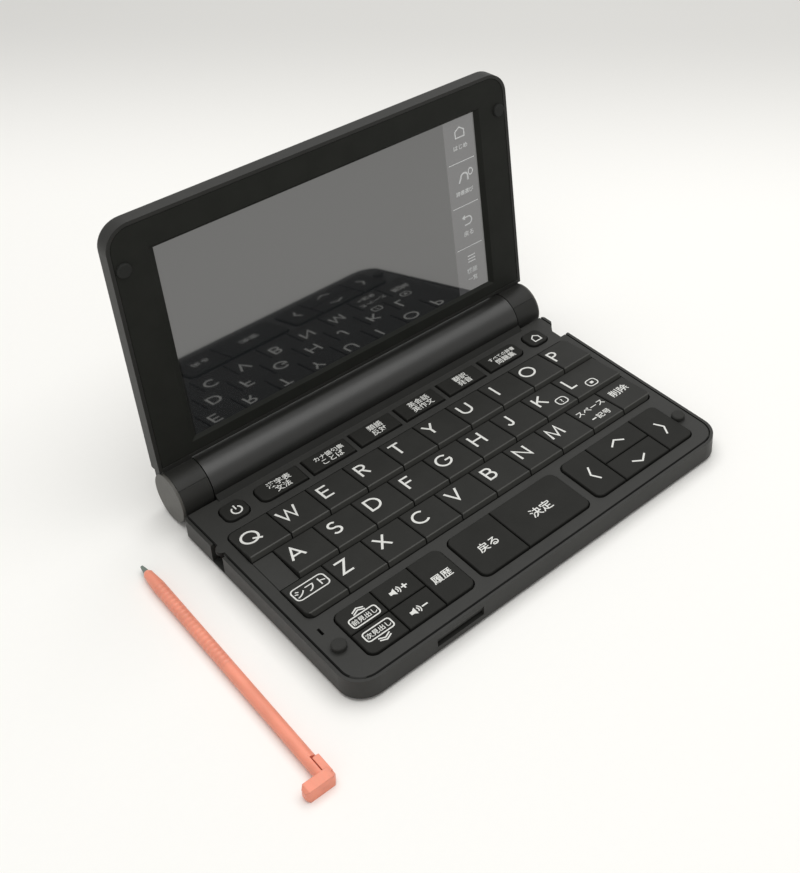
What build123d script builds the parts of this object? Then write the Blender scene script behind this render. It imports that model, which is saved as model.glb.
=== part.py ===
from build123d import *
import math
import os

# Pocket electronic dictionary with a hinged screen lid, and its stylus lying beside it.
# Millimetres. X across, Y from the front edge to the hinge barrel, Z up from the table.
# The origin is the centre of the footprint, on the table.

# ---- keys -------------------------------------------------------------------------------
KEY_PITCH = 13.97
ROW_PITCH = 14.6
KEY_GAP = 0.45
LETTERS_PER_ROW = 10
ROW_TOP_SHIFT = 0.3
ROW_HOME_SHIFT = 6.95
LAST_KEY_TRIM = 0.8
KEY_TRAVEL = 0.8
WEDGE_FRONT_RISE = 1.75
WEDGE_REAR_RISE = 0.45
WEDGE_FACE_RUN = 0.55
FLAT_KEY_RISE = 0.8
KEY_EDGE = 0.25
KEY_CORNER_R = 2.2
FLAT_CORNER_R = 2.4
CAP_DEPTH = 0.9
STEM_SIDE = 2.0
STEM_SHIFT = 1.4
STEM_OVERLAP = 0.45

FUNCTION_KEY_DEPTH = 8.0
POWER_KEY_W = 8.4
BOOK_KEY_W = 16.35
BOOK_KEY_PITCH = 18.3
BOOK_KEYS = 6
HOME_KEY_W = 8.2
POWER_KEY_INSET = 3.6
BOOK_KEY_INSET = 15.9
HOME_KEY_INSET = 3.4

CLUSTER_DEPTH = 19.2
PAGE_KEY_W = 13.2
VOLUME_KEY_W = 13.1
HISTORY_KEY_W = 11.3
BACK_KEY_W = 17.3
ENTER_KEY_W = 26.0
SIDE_ARROW_W = 11.9
UP_ARROW_W = 19.9
CLUSTER_WEB = 3.0
CLUSTER_INSET = 4.8

# ---- deck margins -----------------------------------------------------------------------
FRONT_MARGIN = 6.0
CLUSTER_TO_LETTERS = 3.3
LETTERS_TO_FUNCTIONS = 3.3
FUNCTIONS_TO_BARREL = 4.55
LEFT_MARGIN = 5.0
RIGHT_MARGIN = 4.1

# ---- base heights -----------------------------------------------------------------------
FLOOR_T = 1.6
STANDOFF_H = 0.8
BOARD_T = 0.8
MAT_T = 0.6
DOME_H = 0.4
DOME_GAP = 0.1
DOME_SIDES = 8
STEM_BELOW_DECK = 1.6
RIM_DROP = 0.1
DECK_T = 1.3

# ---- base outline -----------------------------------------------------------------------
CORNER_R = 8.2
UNDER_EDGE = 1.2
RIM_T = 1.0
RIM_GAP = 0.25
LEDGE_W = 0.9
DECK_EDGE = 0.4
FOOT_R = 4.0
FOOT_RING = 0.4
FOOT_RING_DEPTH = 0.3
FOOT_INSET = 12.0
STANDOFF_R = 2.0
STANDOFF_INSET = 14.0
BOARD_INSET = 6.0
BOARD_CORNER_R = 3.0
BOARD_CLEAR = 0.2
REAR_CORNER_R = 1.2

# ---- hinge barrel and batteries ---------------------------------------------------------
CELL_R = 7.25
CELL_L = 49.5
CELL_NUB_R = 2.6
CELL_NUB_L = 1.0
CONTACT_T = 0.4
CELL_CLEAR = 0.3
BARREL_WALL = 1.0
BARREL_LIFT = 0.52
END_WALL_T = 2.0
CELL_END_CLEAR = 0.3
COVER_END_LAP = 1.0
COVER_FROM = -80.0
COVER_TO = 20.0
COVER_GAP = 0.2
CRADLE_CLEAR = 0.15
FLANGE_L = 3.2
FLANGE_T = 1.7
BARREL_GAP = 0.25
KNUCKLE_W = 10.5
KNUCKLE_GAP = 0.3
END_DISC_T = 0.8
END_DISC_STEP = 0.35
KNUCKLE_LINE_W = 0.3
KNUCKLE_LINE_DEPTH = 0.2
KNUCKLE_LINE_AT = 48.3
PIN_R = 2.0
PIN_CLEAR = 0.05
PIN_IN_BARREL = 7.0
PIN_IN_KNUCKLE = 8.0
CRADLE_L = 5.5
RISER_H = 1.5
RISER_RUN = 1.9

# ---- lid --------------------------------------------------------------------------------
LID_LEAN = 85.66
LID_SIDE_INSET = 0.4
LID_FRONT_DROP = 1.8
LID_CORNER_R = 8.0
LID_BACK_EDGE = 1.6
LID_RIM_T = 1.2
LID_SEAM = 0.15
LID_BARREL_CLEAR = 0.3
COVER_SHEET_T = 1.5
MODULE_T = 2.8
GLASS_T = 1.0
BEZEL_T = 1.0
BEZEL_RECESS = 0.1
BEZEL_SKIRT_T = 1.2
WINDOW_W = 119.1
WINDOW_H = 67.6
WINDOW_TOP_BAND = 11.3
WINDOW_BOTTOM_BAND = 6.15
WINDOW_SIDE_BEVEL = 1.9
WINDOW_END_BEVEL = 1.1
GLASS_LAP = 2.2
MODULE_LAP = 1.8
CUSHION_R = 2.25
DECK_CUSHION_H = 1.6
LID_CUSHION_H = 0.9
CUSHION_EDGE = 0.3
DECK_CUSHION_INSET = 5.6
DECK_CUSHION_BACK = 15.2
LID_CUSHION_INSET = 3.9
LID_CUSHION_DOWN = 14.0

# ---- sockets and openings in the base ---------------------------------------------------
JACK_BORE_R = 1.8
JACK_WALL = 0.45
JACK_W = 6.2
JACK_L = 12.0
JACK_FROM_HINGE = 28.0
JACK_CLEAR = 0.2
JACK_TAB_R = 1.9
SLOT_W = 16.8
SLOT_H = 1.0
SLOT_FROM_LEFT = 27.6
SLOT_Z = 3.5
SCOOP_H = 2.4
SCOOP_DEPTH = 0.8
SOCKET_L = 6.0
SOCKET_WALL = 0.6
MIC_L = 2.7
MIC_W = 0.8
MIC_BACK = 21.8
PANEL_LINE_W = 0.25
PANEL_LINE_DEPTH = 0.3

# ---- stylus and its channel -------------------------------------------------------------
STYLUS_R = 1.88
STYLUS_L = 98.4
STYLUS_NECK_L = 10.0
STYLUS_SHOULDER_L = 4.0
STYLUS_SHOULDER_R = 1.42
STYLUS_NIB_L = 3.0
STYLUS_NIB_R = 0.9
STYLUS_TIP_R = 0.45
STYLUS_HEAD_LEFT = 6.6
STYLUS_HEAD_RIGHT = 2.3
STYLUS_HEAD_L = 3.4
STYLUS_HEAD_H = 4.0
STYLUS_HEAD_EDGE = 0.8
STYLUS_ARM_L = 5.2
STYLUS_ARM_T = 1.9
STYLUS_ARM_EDGE = 0.5
STYLUS_SLIT = 0.3
STYLUS_TURN = -1.14
STYLUS_FROM_CASE = 18.5
STYLUS_AHEAD = 13.8
CHANNEL_CLEAR = 0.32
CHANNEL_WALL = 0.9
CHANNEL_BEYOND_LETTERS = 2.0
CHANNEL_ROOF = 0.2
CHANNEL_L = 95.0
NOTCH_DEPTH = 3.5
NOTCH_FLARE = 4.5

# ---- derived planes ---------------------------------------------------------------------
DECK_UNDER = FLOOR_T + STANDOFF_H + BOARD_T + MAT_T + DOME_H + DOME_GAP + KEY_TRAVEL + STEM_BELOW_DECK
DECK_TOP = DECK_UNDER + DECK_T
RIM_TOP = DECK_TOP - RIM_DROP
BOARD_UNDER = FLOOR_T + STANDOFF_H
MAT_UNDER = BOARD_UNDER + BOARD_T
DOME_TOP = MAT_UNDER + MAT_T + DOME_H
STEM_UNDER = DOME_TOP + KEY_TRAVEL + DOME_GAP
CAP_UNDER = DECK_TOP - CAP_DEPTH

BARREL_BORE_R = CELL_R + CELL_CLEAR
BARREL_R = BARREL_BORE_R + BARREL_WALL
HINGE_Z = BARREL_LIFT + BARREL_R

FIELD_W = LETTERS_PER_ROW * KEY_PITCH - LAST_KEY_TRIM
WIDTH = FIELD_W + LEFT_MARGIN + RIGHT_MARGIN
FIELD_DEPTH = 3 * ROW_PITCH
RISER_BACK = FRONT_MARGIN + CLUSTER_DEPTH + CLUSTER_TO_LETTERS + FIELD_DEPTH
RISER_BACK += LETTERS_TO_FUNCTIONS + FUNCTION_KEY_DEPTH + FUNCTIONS_TO_BARREL
DEPTH = RISER_BACK + BARREL_GAP + 2 * BARREL_R

LEFT = -WIDTH / 2
RIGHT = WIDTH / 2
FRONT = -DEPTH / 2
HINGE_Y = -FRONT - BARREL_R
REAR_DECK = FRONT + RISER_BACK
FIELD_LEFT = LEFT + LEFT_MARGIN
FIELD_RIGHT = FIELD_LEFT + FIELD_W
CLUSTER_Y = FRONT + FRONT_MARGIN
FIELD_Y = CLUSTER_Y + CLUSTER_DEPTH + CLUSTER_TO_LETTERS
FUNCTION_Y = FIELD_Y + FIELD_DEPTH + LETTERS_TO_FUNCTIONS

DECK_INSET = RIM_T + RIM_GAP
WALL_T = DECK_INSET + LEDGE_W
SIDE_REAR = REAR_DECK - RIM_GAP - BARREL_GAP

CHANNEL_W = 2 * (STYLUS_R + CHANNEL_CLEAR)
CHANNEL_Y = FIELD_Y + FIELD_DEPTH + CHANNEL_BEYOND_LETTERS
CHANNEL_TOP = CAP_UNDER - KEY_TRAVEL - CHANNEL_ROOF
CAVITY_REAR = FUNCTION_Y + FUNCTION_KEY_DEPTH
NOTCH_X = RIGHT - NOTCH_DEPTH
JACK_Y = HINGE_Y - JACK_FROM_HINGE
JACK_Z = FLOOR_T + JACK_WALL + JACK_BORE_R
JACK_X = LEFT + WALL_T + JACK_CLEAR

CELL_SPAN = 2 * (CELL_L + CELL_NUB_L)
BORE_HALF = CELL_SPAN / 2 + CONTACT_T + CELL_END_CLEAR
KNUCKLE_OUT = RIGHT - LID_SIDE_INSET * 2
KNUCKLE_IN = KNUCKLE_OUT - KNUCKLE_W
BARREL_HALF = KNUCKLE_IN - KNUCKLE_GAP
COVER_HALF = BORE_HALF - COVER_END_LAP

LID_T = COVER_SHEET_T + MODULE_T + GLASS_T + BEZEL_T + BEZEL_RECESS
LID_FRONT_W = -LID_FRONT_DROP
LID_BACK_W = LID_FRONT_W - LID_T
BEZEL_FRONT_W = LID_FRONT_W - BEZEL_RECESS
GLASS_FRONT_W = BEZEL_FRONT_W - BEZEL_T
MODULE_FRONT_W = GLASS_FRONT_W - GLASS_T
COVER_INNER_W = LID_BACK_W + COVER_SHEET_T
LID_HALF = RIGHT - LID_SIDE_INSET
LID_LOW = BARREL_R + LID_BARREL_CLEAR
WINDOW_LOW = LID_LOW + WINDOW_BOTTOM_BAND
WINDOW_HIGH = WINDOW_LOW + WINDOW_H
LID_HIGH = WINDOW_HIGH + WINDOW_TOP_BAND
LID_FRAME = Pos(0, HINGE_Y, HINGE_Z) * Rot(LID_LEAN, 0, 0)

ALL_CORNERS = ("fl", "fr", "rl", "rr")


# ---- shared helpers ---------------------------------------------------------------------
def block(x0, x1, y0, y1, z0, z1):
    """Box between six planes."""
    centre = Pos((x0 + x1) / 2, (y0 + y1) / 2, (z0 + z1) / 2)
    return centre * Box(x1 - x0, y1 - y0, z1 - z0)


def rounded_plan(x0, x1, y0, y1, radius, corners):
    """Rectangle in plan whose named corners (front/rear, left/right) are rounded."""
    face = Pos((x0 + x1) / 2, (y0 + y1) / 2) * Rectangle(x1 - x0, y1 - y0)
    wanted = []
    for vertex in face.vertices():
        end = "f" if vertex.Y < (y0 + y1) / 2 else "r"
        side = "l" if vertex.X < (x0 + x1) / 2 else "r"
        if end + side in corners:
            wanted.append(vertex)
    if wanted and radius > 0:
        face = fillet(wanted, radius)
    return face


def prism(face, z0, z1):
    """Plan face raised between two heights."""
    return extrude(Pos(0, 0, z0) * face, amount=z1 - z0, dir=(0, 0, 1))


def barrel_plane(x):
    """Section plane of the hinge barrel: its own X is +Y, its own Y is +Z."""
    return Plane(origin=(x, HINGE_Y, HINGE_Z), x_dir=(0, 1, 0), z_dir=(1, 0, 0))


def barrel_disc(radius, x0, x1):
    """Cylinder on the hinge axis between two stations across the case."""
    return extrude(barrel_plane(x0) * Circle(radius), amount=x1 - x0, dir=(1, 0, 0))


def ring_sector(inner, outer, start, end, x0, x1):
    """Curved strip of the barrel between two radii and two angles from +Y."""
    out_arc = CenterArc((0, 0), outer, start, end - start)
    in_arc = CenterArc((0, 0), inner, start, end - start)
    sides = [Line(out_arc @ 0, in_arc @ 0), Line(out_arc @ 1, in_arc @ 1)]
    face = make_face([out_arc, in_arc] + sides)
    return extrude(barrel_plane(x0) * face, amount=x1 - x0, dir=(1, 0, 0))


def soften_top(solid, size):
    """Small chamfer round the largest upward face."""
    tops = [face for face in solid.faces() if face.normal_at().Z > 0.9]
    top = max(tops, key=lambda face: face.area)
    return chamfer(top.edges(), size)


# ---- key layout -------------------------------------------------------------------------
def letter_cells(names, first_split, y0, corners):
    """Cells of one letter row: equal pitch inside, field edges at both ends."""
    cells = {}
    left = first_split[0]
    for index, name in enumerate(names):
        last = index == len(names) - 1
        right = FIELD_RIGHT if last else first_split[1] + index * KEY_PITCH
        cells[name] = (left, right, y0, y0 + ROW_PITCH, corners.get(name, ()))
        left = right
    return cells


def letter_layout():
    """Three letter rows: name to (x0, x1, y0, y1, rounded corners)."""
    top_y = FIELD_Y + 2 * ROW_PITCH
    home_y = FIELD_Y + ROW_PITCH
    home_x = FIELD_LEFT + ROW_HOME_SHIFT
    top_split = (FIELD_LEFT, FIELD_LEFT + ROW_TOP_SHIFT + KEY_PITCH)
    home_split = (home_x, home_x + KEY_PITCH)
    low_split = (FIELD_LEFT, FIELD_LEFT + KEY_PITCH)
    cells = letter_cells(list("qwertyuiop"), top_split, top_y, {"q": ("rl",), "p": ("rr",)})
    cells.update(letter_cells(list("asdfghjkl"), home_split, home_y, {}))
    low_names = ["shift"] + list("zxcvbnm") + ["space", "delete"]
    low_corners = {"shift": ("fl",), "delete": ("fr",)}
    cells.update(letter_cells(low_names, low_split, FIELD_Y, low_corners))
    return cells


def function_layout():
    """Power, book and home keys behind the letters, each in its own hole."""
    y0 = FUNCTION_Y
    y1 = FUNCTION_Y + FUNCTION_KEY_DEPTH
    power_x = FIELD_LEFT + POWER_KEY_INSET
    home_x = FIELD_RIGHT - HOME_KEY_INSET
    cells = {"power": (power_x, power_x + POWER_KEY_W, y0, y1, ALL_CORNERS)}
    for index in range(BOOK_KEYS):
        x0 = FIELD_LEFT + BOOK_KEY_INSET + index * BOOK_KEY_PITCH
        corners = ()
        if index == 0:
            corners = ("fl", "rl")
        if index == BOOK_KEYS - 1:
            corners = ("fr", "rr")
        cells["book_%d" % (index + 1)] = (x0, x0 + BOOK_KEY_W, y0, y1, corners)
    cells["home"] = (home_x - HOME_KEY_W, home_x, y0, y1, ALL_CORNERS)
    return cells


def cluster_layout():
    """Three groups of flat keys along the front: page and volume, back and enter, arrows."""
    y0 = CLUSTER_Y
    y1 = CLUSTER_Y + CLUSTER_DEPTH
    mid = (y0 + y1) / 2
    x = FIELD_LEFT + CLUSTER_INSET
    cells = {}
    cells["next"] = (x, x + PAGE_KEY_W, y0, mid, ("fl",))
    cells["previous"] = (x, x + PAGE_KEY_W, mid, y1, ("rl",))
    x += PAGE_KEY_W
    cells["volume_down"] = (x, x + VOLUME_KEY_W, y0, mid, ())
    cells["volume_up"] = (x, x + VOLUME_KEY_W, mid, y1, ())
    x += VOLUME_KEY_W
    cells["history"] = (x, x + HISTORY_KEY_W, y0, y1, ("fr", "rr"))
    x += HISTORY_KEY_W + CLUSTER_WEB
    cells["back"] = (x, x + BACK_KEY_W, y0, y1, ("fl", "rl"))
    x += BACK_KEY_W
    cells["enter"] = (x, x + ENTER_KEY_W, y0, y1, ("fr", "rr"))
    x += ENTER_KEY_W + CLUSTER_WEB
    cells["left"] = (x, x + SIDE_ARROW_W, y0, y1, ("fl", "rl"))
    x += SIDE_ARROW_W
    cells["down"] = (x, x + UP_ARROW_W, y0, mid, ())
    cells["up"] = (x, x + UP_ARROW_W, mid, y1, ())
    x += UP_ARROW_W
    cells["right"] = (x, x + SIDE_ARROW_W, y0, y1, ("fr", "rr"))
    return cells


LETTER_CELLS = letter_layout()
FUNCTION_CELLS = function_layout()
CLUSTER_CELLS = cluster_layout()


def stem_place(name, cell):
    """Plan position of the post under a key: clear of the jack and the stylus channel."""
    x = (cell[0] + cell[1]) / 2
    if name in FUNCTION_CELLS:
        return x, cell[3] - KEY_GAP - STEM_SIDE / 2
    return x, (cell[2] + cell[3]) / 2 - STEM_SHIFT


# ---- keys -------------------------------------------------------------------------------
def key_outline(cell, radius):
    """Key plan: its cell less half a gap all round."""
    half = KEY_GAP / 2
    return rounded_plan(cell[0] + half, cell[1] - half, cell[2] + half, cell[3] - half, radius, cell[4])


def wedge_profile(cell):
    """Side profile of a letter key: steep front face, top falling towards the back."""
    y0 = cell[2] + KEY_GAP / 2
    y1 = cell[3] - KEY_GAP / 2
    points = [
        (y0, CAP_UNDER),
        (y0, DECK_TOP),
        (y0 + WEDGE_FACE_RUN, DECK_TOP + WEDGE_FRONT_RISE),
        (y1, DECK_TOP + WEDGE_REAR_RISE),
        (y1, CAP_UNDER),
    ]
    plane = Plane(origin=(cell[0], 0, 0), x_dir=(0, 1, 0), z_dir=(1, 0, 0))
    return extrude(plane * make_face(Polyline(points, close=True)), amount=cell[1] - cell[0], dir=(1, 0, 0))


def key_stem(name, cell):
    """Post that reaches down to the rubber dome."""
    x, y = stem_place(name, cell)
    half = STEM_SIDE / 2
    return block(x - half, x + half, y - half, y + half, STEM_UNDER, CAP_UNDER + STEM_OVERLAP)


def letter_key(name):
    """Wedge-shaped letter key."""
    cell = LETTER_CELLS[name]
    top = DECK_TOP + WEDGE_FRONT_RISE
    cap = prism(key_outline(cell, KEY_CORNER_R), CAP_UNDER, top) & wedge_profile(cell)
    return soften_top(cap, KEY_EDGE) + key_stem(name, cell)


def flat_key(name, cell):
    """Low flat key of the front and rear groups."""
    cap = prism(key_outline(cell, FLAT_CORNER_R), CAP_UNDER, DECK_TOP + FLAT_KEY_RISE)
    return soften_top(cap, KEY_EDGE) + key_stem(name, cell)


# ---- openings shared by deck and keys ---------------------------------------------------
def hole(x0, x1, y0, y1, radius, corners):
    """Deck opening: the cells it serves plus half a gap all round."""
    half = KEY_GAP / 2
    grown = radius + KEY_GAP
    face = rounded_plan(x0 - half, x1 + half, y0 - half, y1 + half, grown, corners)
    return prism(face, DECK_UNDER, DECK_TOP)


def group_hole(cells, names, radius):
    """One opening round a group of keys that stand side by side."""
    group = [cells[name] for name in names]
    x0 = min(cell[0] for cell in group)
    x1 = max(cell[1] for cell in group)
    y0 = min(cell[2] for cell in group)
    y1 = max(cell[3] for cell in group)
    return hole(x0, x1, y0, y1, radius, ALL_CORNERS)


def key_holes():
    """All key openings of the deck as one tool."""
    top = LETTER_CELLS["q"]
    home = LETTER_CELLS["a"]
    low = LETTER_CELLS["shift"]
    tool = hole(FIELD_LEFT, FIELD_RIGHT, top[2], top[3], KEY_CORNER_R, ("rl", "rr"))
    tool += hole(home[0], FIELD_RIGHT, home[2], home[3], 0, ())
    tool += hole(FIELD_LEFT, FIELD_RIGHT, low[2], low[3], KEY_CORNER_R, ("fl", "fr"))
    for cell in FUNCTION_CELLS.values():
        tool += hole(cell[0], cell[1], cell[2], cell[3], FLAT_CORNER_R if cell[4] else 0, cell[4])
    page_group = ["next", "previous", "volume_down", "volume_up", "history"]
    tool += group_hole(CLUSTER_CELLS, page_group, FLAT_CORNER_R)
    tool += group_hole(CLUSTER_CELLS, ["back", "enter"], FLAT_CORNER_R)
    tool += group_hole(CLUSTER_CELLS, ["left", "down", "up", "right"], FLAT_CORNER_R)
    return tool


def notch_tool(grow, z0, z1):
    """Stylus head notch in the right edge: square at the front, flared towards the hinge."""
    inner = NOTCH_X - grow
    outer = RIGHT + NOTCH_DEPTH
    y0 = CHANNEL_Y - grow
    y1 = CHANNEL_Y + CHANNEL_W + grow
    flare = y1 + NOTCH_FLARE
    points = [(inner, y0), (outer, y0), (outer, flare), (RIGHT, flare), (inner, y1)]
    return prism(make_face(Polyline(points, close=True)), z0, z1)


# ---- lower case -------------------------------------------------------------------------
def case_plan(inset):
    """Base outline: rounded front corners, square rear, inset all round but at the rear."""
    corners = ("fl", "fr")
    return rounded_plan(LEFT + inset, RIGHT - inset, FRONT + inset, SIDE_REAR, CORNER_R - inset, corners)


def case_shell():
    """Outer form of the lower case with its softened under edge."""
    plan = case_plan(0)
    rear_corners = plan.vertices().group_by(Axis.Y)[-1]
    shell = prism(fillet(rear_corners, REAR_CORNER_R), 0, RIM_TOP)
    under = shell.faces().sort_by(Axis.Z)[0]
    rear = under.edges().sort_by(Axis.Y)[-1]
    shell = chamfer([edge for edge in under.edges() if edge != rear], UNDER_EDGE)
    cradle_y = SIDE_REAR + CRADLE_L - BARREL_GAP
    return shell + block(-BARREL_HALF, BARREL_HALF, SIDE_REAR - LEDGE_W, cradle_y, 0, DECK_UNDER)


def case_cavity():
    """Space inside the walls, with the ledge that carries the deck."""
    inner = rounded_plan(
        LEFT + WALL_T, RIGHT - WALL_T, FRONT + WALL_T, CAVITY_REAR, CORNER_R - WALL_T, ("fl", "fr")
    )
    upper = case_plan(RIM_T)
    return prism(inner, FLOOR_T, DECK_UNDER) + prism(upper, DECK_UNDER, RIM_TOP + DECK_T)


def case_ribs():
    """Walls of the stylus channel, standing on the floor."""
    x0 = NOTCH_X - CHANNEL_L
    y0 = CHANNEL_Y - CHANNEL_WALL
    y1 = CHANNEL_Y + CHANNEL_W
    ribs = block(x0, NOTCH_X, y0, CHANNEL_Y, FLOOR_T, CHANNEL_TOP)
    ribs += block(x0, NOTCH_X, y1, y1 + CHANNEL_WALL, FLOOR_T, CHANNEL_TOP)
    ribs += block(x0 - CHANNEL_WALL, x0, y0, y1 + CHANNEL_WALL, FLOOR_T, CHANNEL_TOP)
    return ribs


def notch_walls():
    """Walls that close the notch off from the inside of the case."""
    grown = notch_tool(CHANNEL_WALL, FLOOR_T, DECK_UNDER)
    return grown & prism(case_plan(RIM_T), FLOOR_T, DECK_UNDER)


def standoff_spots():
    """Plan positions of the board posts."""
    x = RIGHT - STANDOFF_INSET
    front = FRONT + STANDOFF_INSET
    back = CHANNEL_Y - STANDOFF_INSET
    return [(side * x, y) for side in (-1, 1) for y in (front, back)] + [(0, front), (0, back)]


def case_posts():
    """Posts that carry the main board."""
    posts = Part()
    for x, y in standoff_spots():
        posts += block(x - STANDOFF_R, x + STANDOFF_R, y - STANDOFF_R, y + STANDOFF_R, FLOOR_T, BOARD_UNDER)
    return posts


def foot_rings():
    """Ring grooves round the inlaid rubber feet."""
    rings = Part()
    x = RIGHT - FOOT_INSET
    for side in (-1, 1):
        for y in (FRONT + FOOT_INSET, SIDE_REAR - FOOT_INSET):
            ring = Circle(FOOT_R + FOOT_RING) - Circle(FOOT_R)
            rings += prism(Pos(side * x, y) * ring, 0, FOOT_RING_DEPTH)
    return rings


def card_scoop(x0):
    """Slanted finger relief above the card slot."""
    slot_top = SLOT_Z + SLOT_H / 2
    points = [(FRONT, slot_top), (FRONT + SCOOP_DEPTH, slot_top), (FRONT, slot_top + SCOOP_H)]
    plane = Plane(origin=(x0, 0, 0), x_dir=(0, 1, 0), z_dir=(1, 0, 0))
    return extrude(plane * make_face(Polyline(points, close=True)), amount=SLOT_W, dir=(1, 0, 0))


def lower_case():
    """Tray of the base: floor, walls, ledge, channel ribs, board posts and barrel cradle."""
    body = case_shell() - case_cavity() + case_ribs() + notch_walls() + case_posts()
    over = RIM_TOP + DECK_T
    body -= block(-BARREL_HALF, BARREL_HALF, REAR_DECK - FLANGE_L, HINGE_Y, DECK_UNDER - FLANGE_T, over)
    body -= barrel_disc(BARREL_R + CRADLE_CLEAR, -BARREL_HALF, BARREL_HALF)
    body -= notch_tool(0, FLOOR_T, over)
    channel_y = CHANNEL_Y + CHANNEL_W
    body -= block(NOTCH_X - CHANNEL_L, NOTCH_X + WALL_T, CHANNEL_Y, channel_y, FLOOR_T, DECK_UNDER)
    half = JACK_W / 2 + JACK_CLEAR
    body -= block(LEFT, LEFT + WALL_T, JACK_Y - half, JACK_Y + half, FLOOR_T, over)
    slot_x = LEFT + SLOT_FROM_LEFT
    slot_z = SLOT_Z - SLOT_H / 2
    body -= block(slot_x, slot_x + SLOT_W, FRONT, FRONT + WALL_T, slot_z, slot_z + SLOT_H)
    return body - card_scoop(slot_x) - foot_rings()


# ---- deck -------------------------------------------------------------------------------
def cushion(x, y, z, height):
    """Round rubber cushion standing on a surface."""
    pad = Pos(x, y, z + height / 2) * Cylinder(CUSHION_R, height)
    return chamfer(pad.faces().sort_by(Axis.Z)[-1].edges(), CUSHION_EDGE)


def riser():
    """Strip that lifts the rear of the deck to the barrel."""
    y0 = REAR_DECK - RISER_RUN
    points = [(y0, DECK_UNDER), (y0, DECK_TOP), (REAR_DECK, DECK_TOP + RISER_H), (REAR_DECK, DECK_UNDER)]
    plane = Plane(origin=(-BARREL_HALF, 0, 0), x_dir=(0, 1, 0), z_dir=(1, 0, 0))
    return extrude(plane * make_face(Polyline(points, close=True)), amount=2 * BARREL_HALF, dir=(1, 0, 0))


def keyboard_deck():
    """Top plate of the base with all key openings, riser, cushions and microphone slit."""
    plate = prism(case_plan(DECK_INSET), DECK_UNDER, DECK_TOP)
    top = plate.faces().sort_by(Axis.Z)[-1]
    rear = top.edges().sort_by(Axis.Y)[-1]
    plate = chamfer([edge for edge in top.edges() if edge != rear], DECK_EDGE)
    plate += riser()
    plate += prism(Pos(LEFT + JACK_TAB_R, JACK_Y) * Circle(JACK_TAB_R), DECK_UNDER, DECK_TOP)
    plate -= key_holes()
    plate -= notch_tool(RIM_GAP, DECK_UNDER, DECK_TOP)
    mic_y = FRONT + MIC_BACK
    mic_x = FIELD_LEFT - MIC_W / 2
    plate -= block(mic_x, mic_x + MIC_W, mic_y, mic_y + MIC_L, DECK_UNDER, DECK_TOP)
    panel = LETTER_CELLS["a"]
    line_x = FIELD_LEFT - PANEL_LINE_W / 2
    line_z = DECK_TOP - PANEL_LINE_DEPTH
    plate -= block(line_x, line_x + PANEL_LINE_W, panel[2], panel[3], line_z, DECK_TOP)
    for side in (-1, 1):
        x = side * (RIGHT - DECK_CUSHION_INSET)
        plate += cushion(x, FRONT + DECK_CUSHION_BACK, DECK_TOP, DECK_CUSHION_H)
    return plate


# ---- inside the base --------------------------------------------------------------------
def board_plan(inset):
    """Outline shared by board and mat: clear of the stylus channel and of the jack."""
    x0 = LEFT + BOARD_INSET + inset
    x1 = RIGHT - BOARD_INSET - inset
    rear = CAVITY_REAR - inset - 2 * BOARD_CLEAR
    plan = rounded_plan(x0, x1, FRONT + BOARD_INSET, rear, BOARD_CORNER_R, ("fl", "fr"))
    gap = CHANNEL_WALL + BOARD_CLEAR
    y0 = CHANNEL_Y - gap
    y1 = CHANNEL_Y + CHANNEL_W + gap
    slot_x = NOTCH_X - CHANNEL_L - gap
    plan -= Pos((slot_x + RIGHT) / 2, (y0 + y1) / 2) * Rectangle(RIGHT - slot_x, y1 - y0)
    flare = y1 + NOTCH_FLARE + gap
    notch_w = RIGHT - NOTCH_X + gap
    plan -= Pos(RIGHT - notch_w / 2, (y0 + flare) / 2) * Rectangle(notch_w, flare - y0)
    jack_end = JACK_X + JACK_L + JACK_CLEAR
    jack_w = JACK_W + 2 * JACK_CLEAR
    plan -= Pos((LEFT + jack_end) / 2, JACK_Y) * Rectangle(jack_end - LEFT, jack_w)
    return plan


def headphone_jack():
    """Headphone socket body on the case floor, with its round bore."""
    half = JACK_W / 2
    top = FLOOR_T + 2 * (JACK_WALL + JACK_BORE_R)
    body = block(JACK_X, JACK_X + JACK_L, JACK_Y - half, JACK_Y + half, FLOOR_T, top)
    plane = Plane(origin=(JACK_X, JACK_Y, JACK_Z), x_dir=(0, 1, 0), z_dir=(1, 0, 0))
    return body - extrude(plane * Circle(JACK_BORE_R), amount=JACK_L - JACK_WALL, dir=(1, 0, 0))


def card_socket():
    """Memory card socket on the board behind the front slot."""
    x0 = LEFT + SLOT_FROM_LEFT
    y0 = FRONT + WALL_T + JACK_CLEAR
    top = SLOT_Z + SLOT_H / 2 + SOCKET_WALL
    body = block(x0 - SOCKET_WALL, x0 + SLOT_W + SOCKET_WALL, y0, y0 + SOCKET_L, MAT_UNDER, top)
    mouth_z = MAT_UNDER + SOCKET_WALL / 2
    return body - block(x0, x0 + SLOT_W, y0, y0 + SOCKET_L - SOCKET_WALL, mouth_z, top - SOCKET_WALL)


def main_board():
    """Circuit board on the case posts, with the two sockets at its edges."""
    board = prism(board_plan(0), BOARD_UNDER, MAT_UNDER) + card_socket()
    return Compound(children=[board, headphone_jack()])


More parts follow.
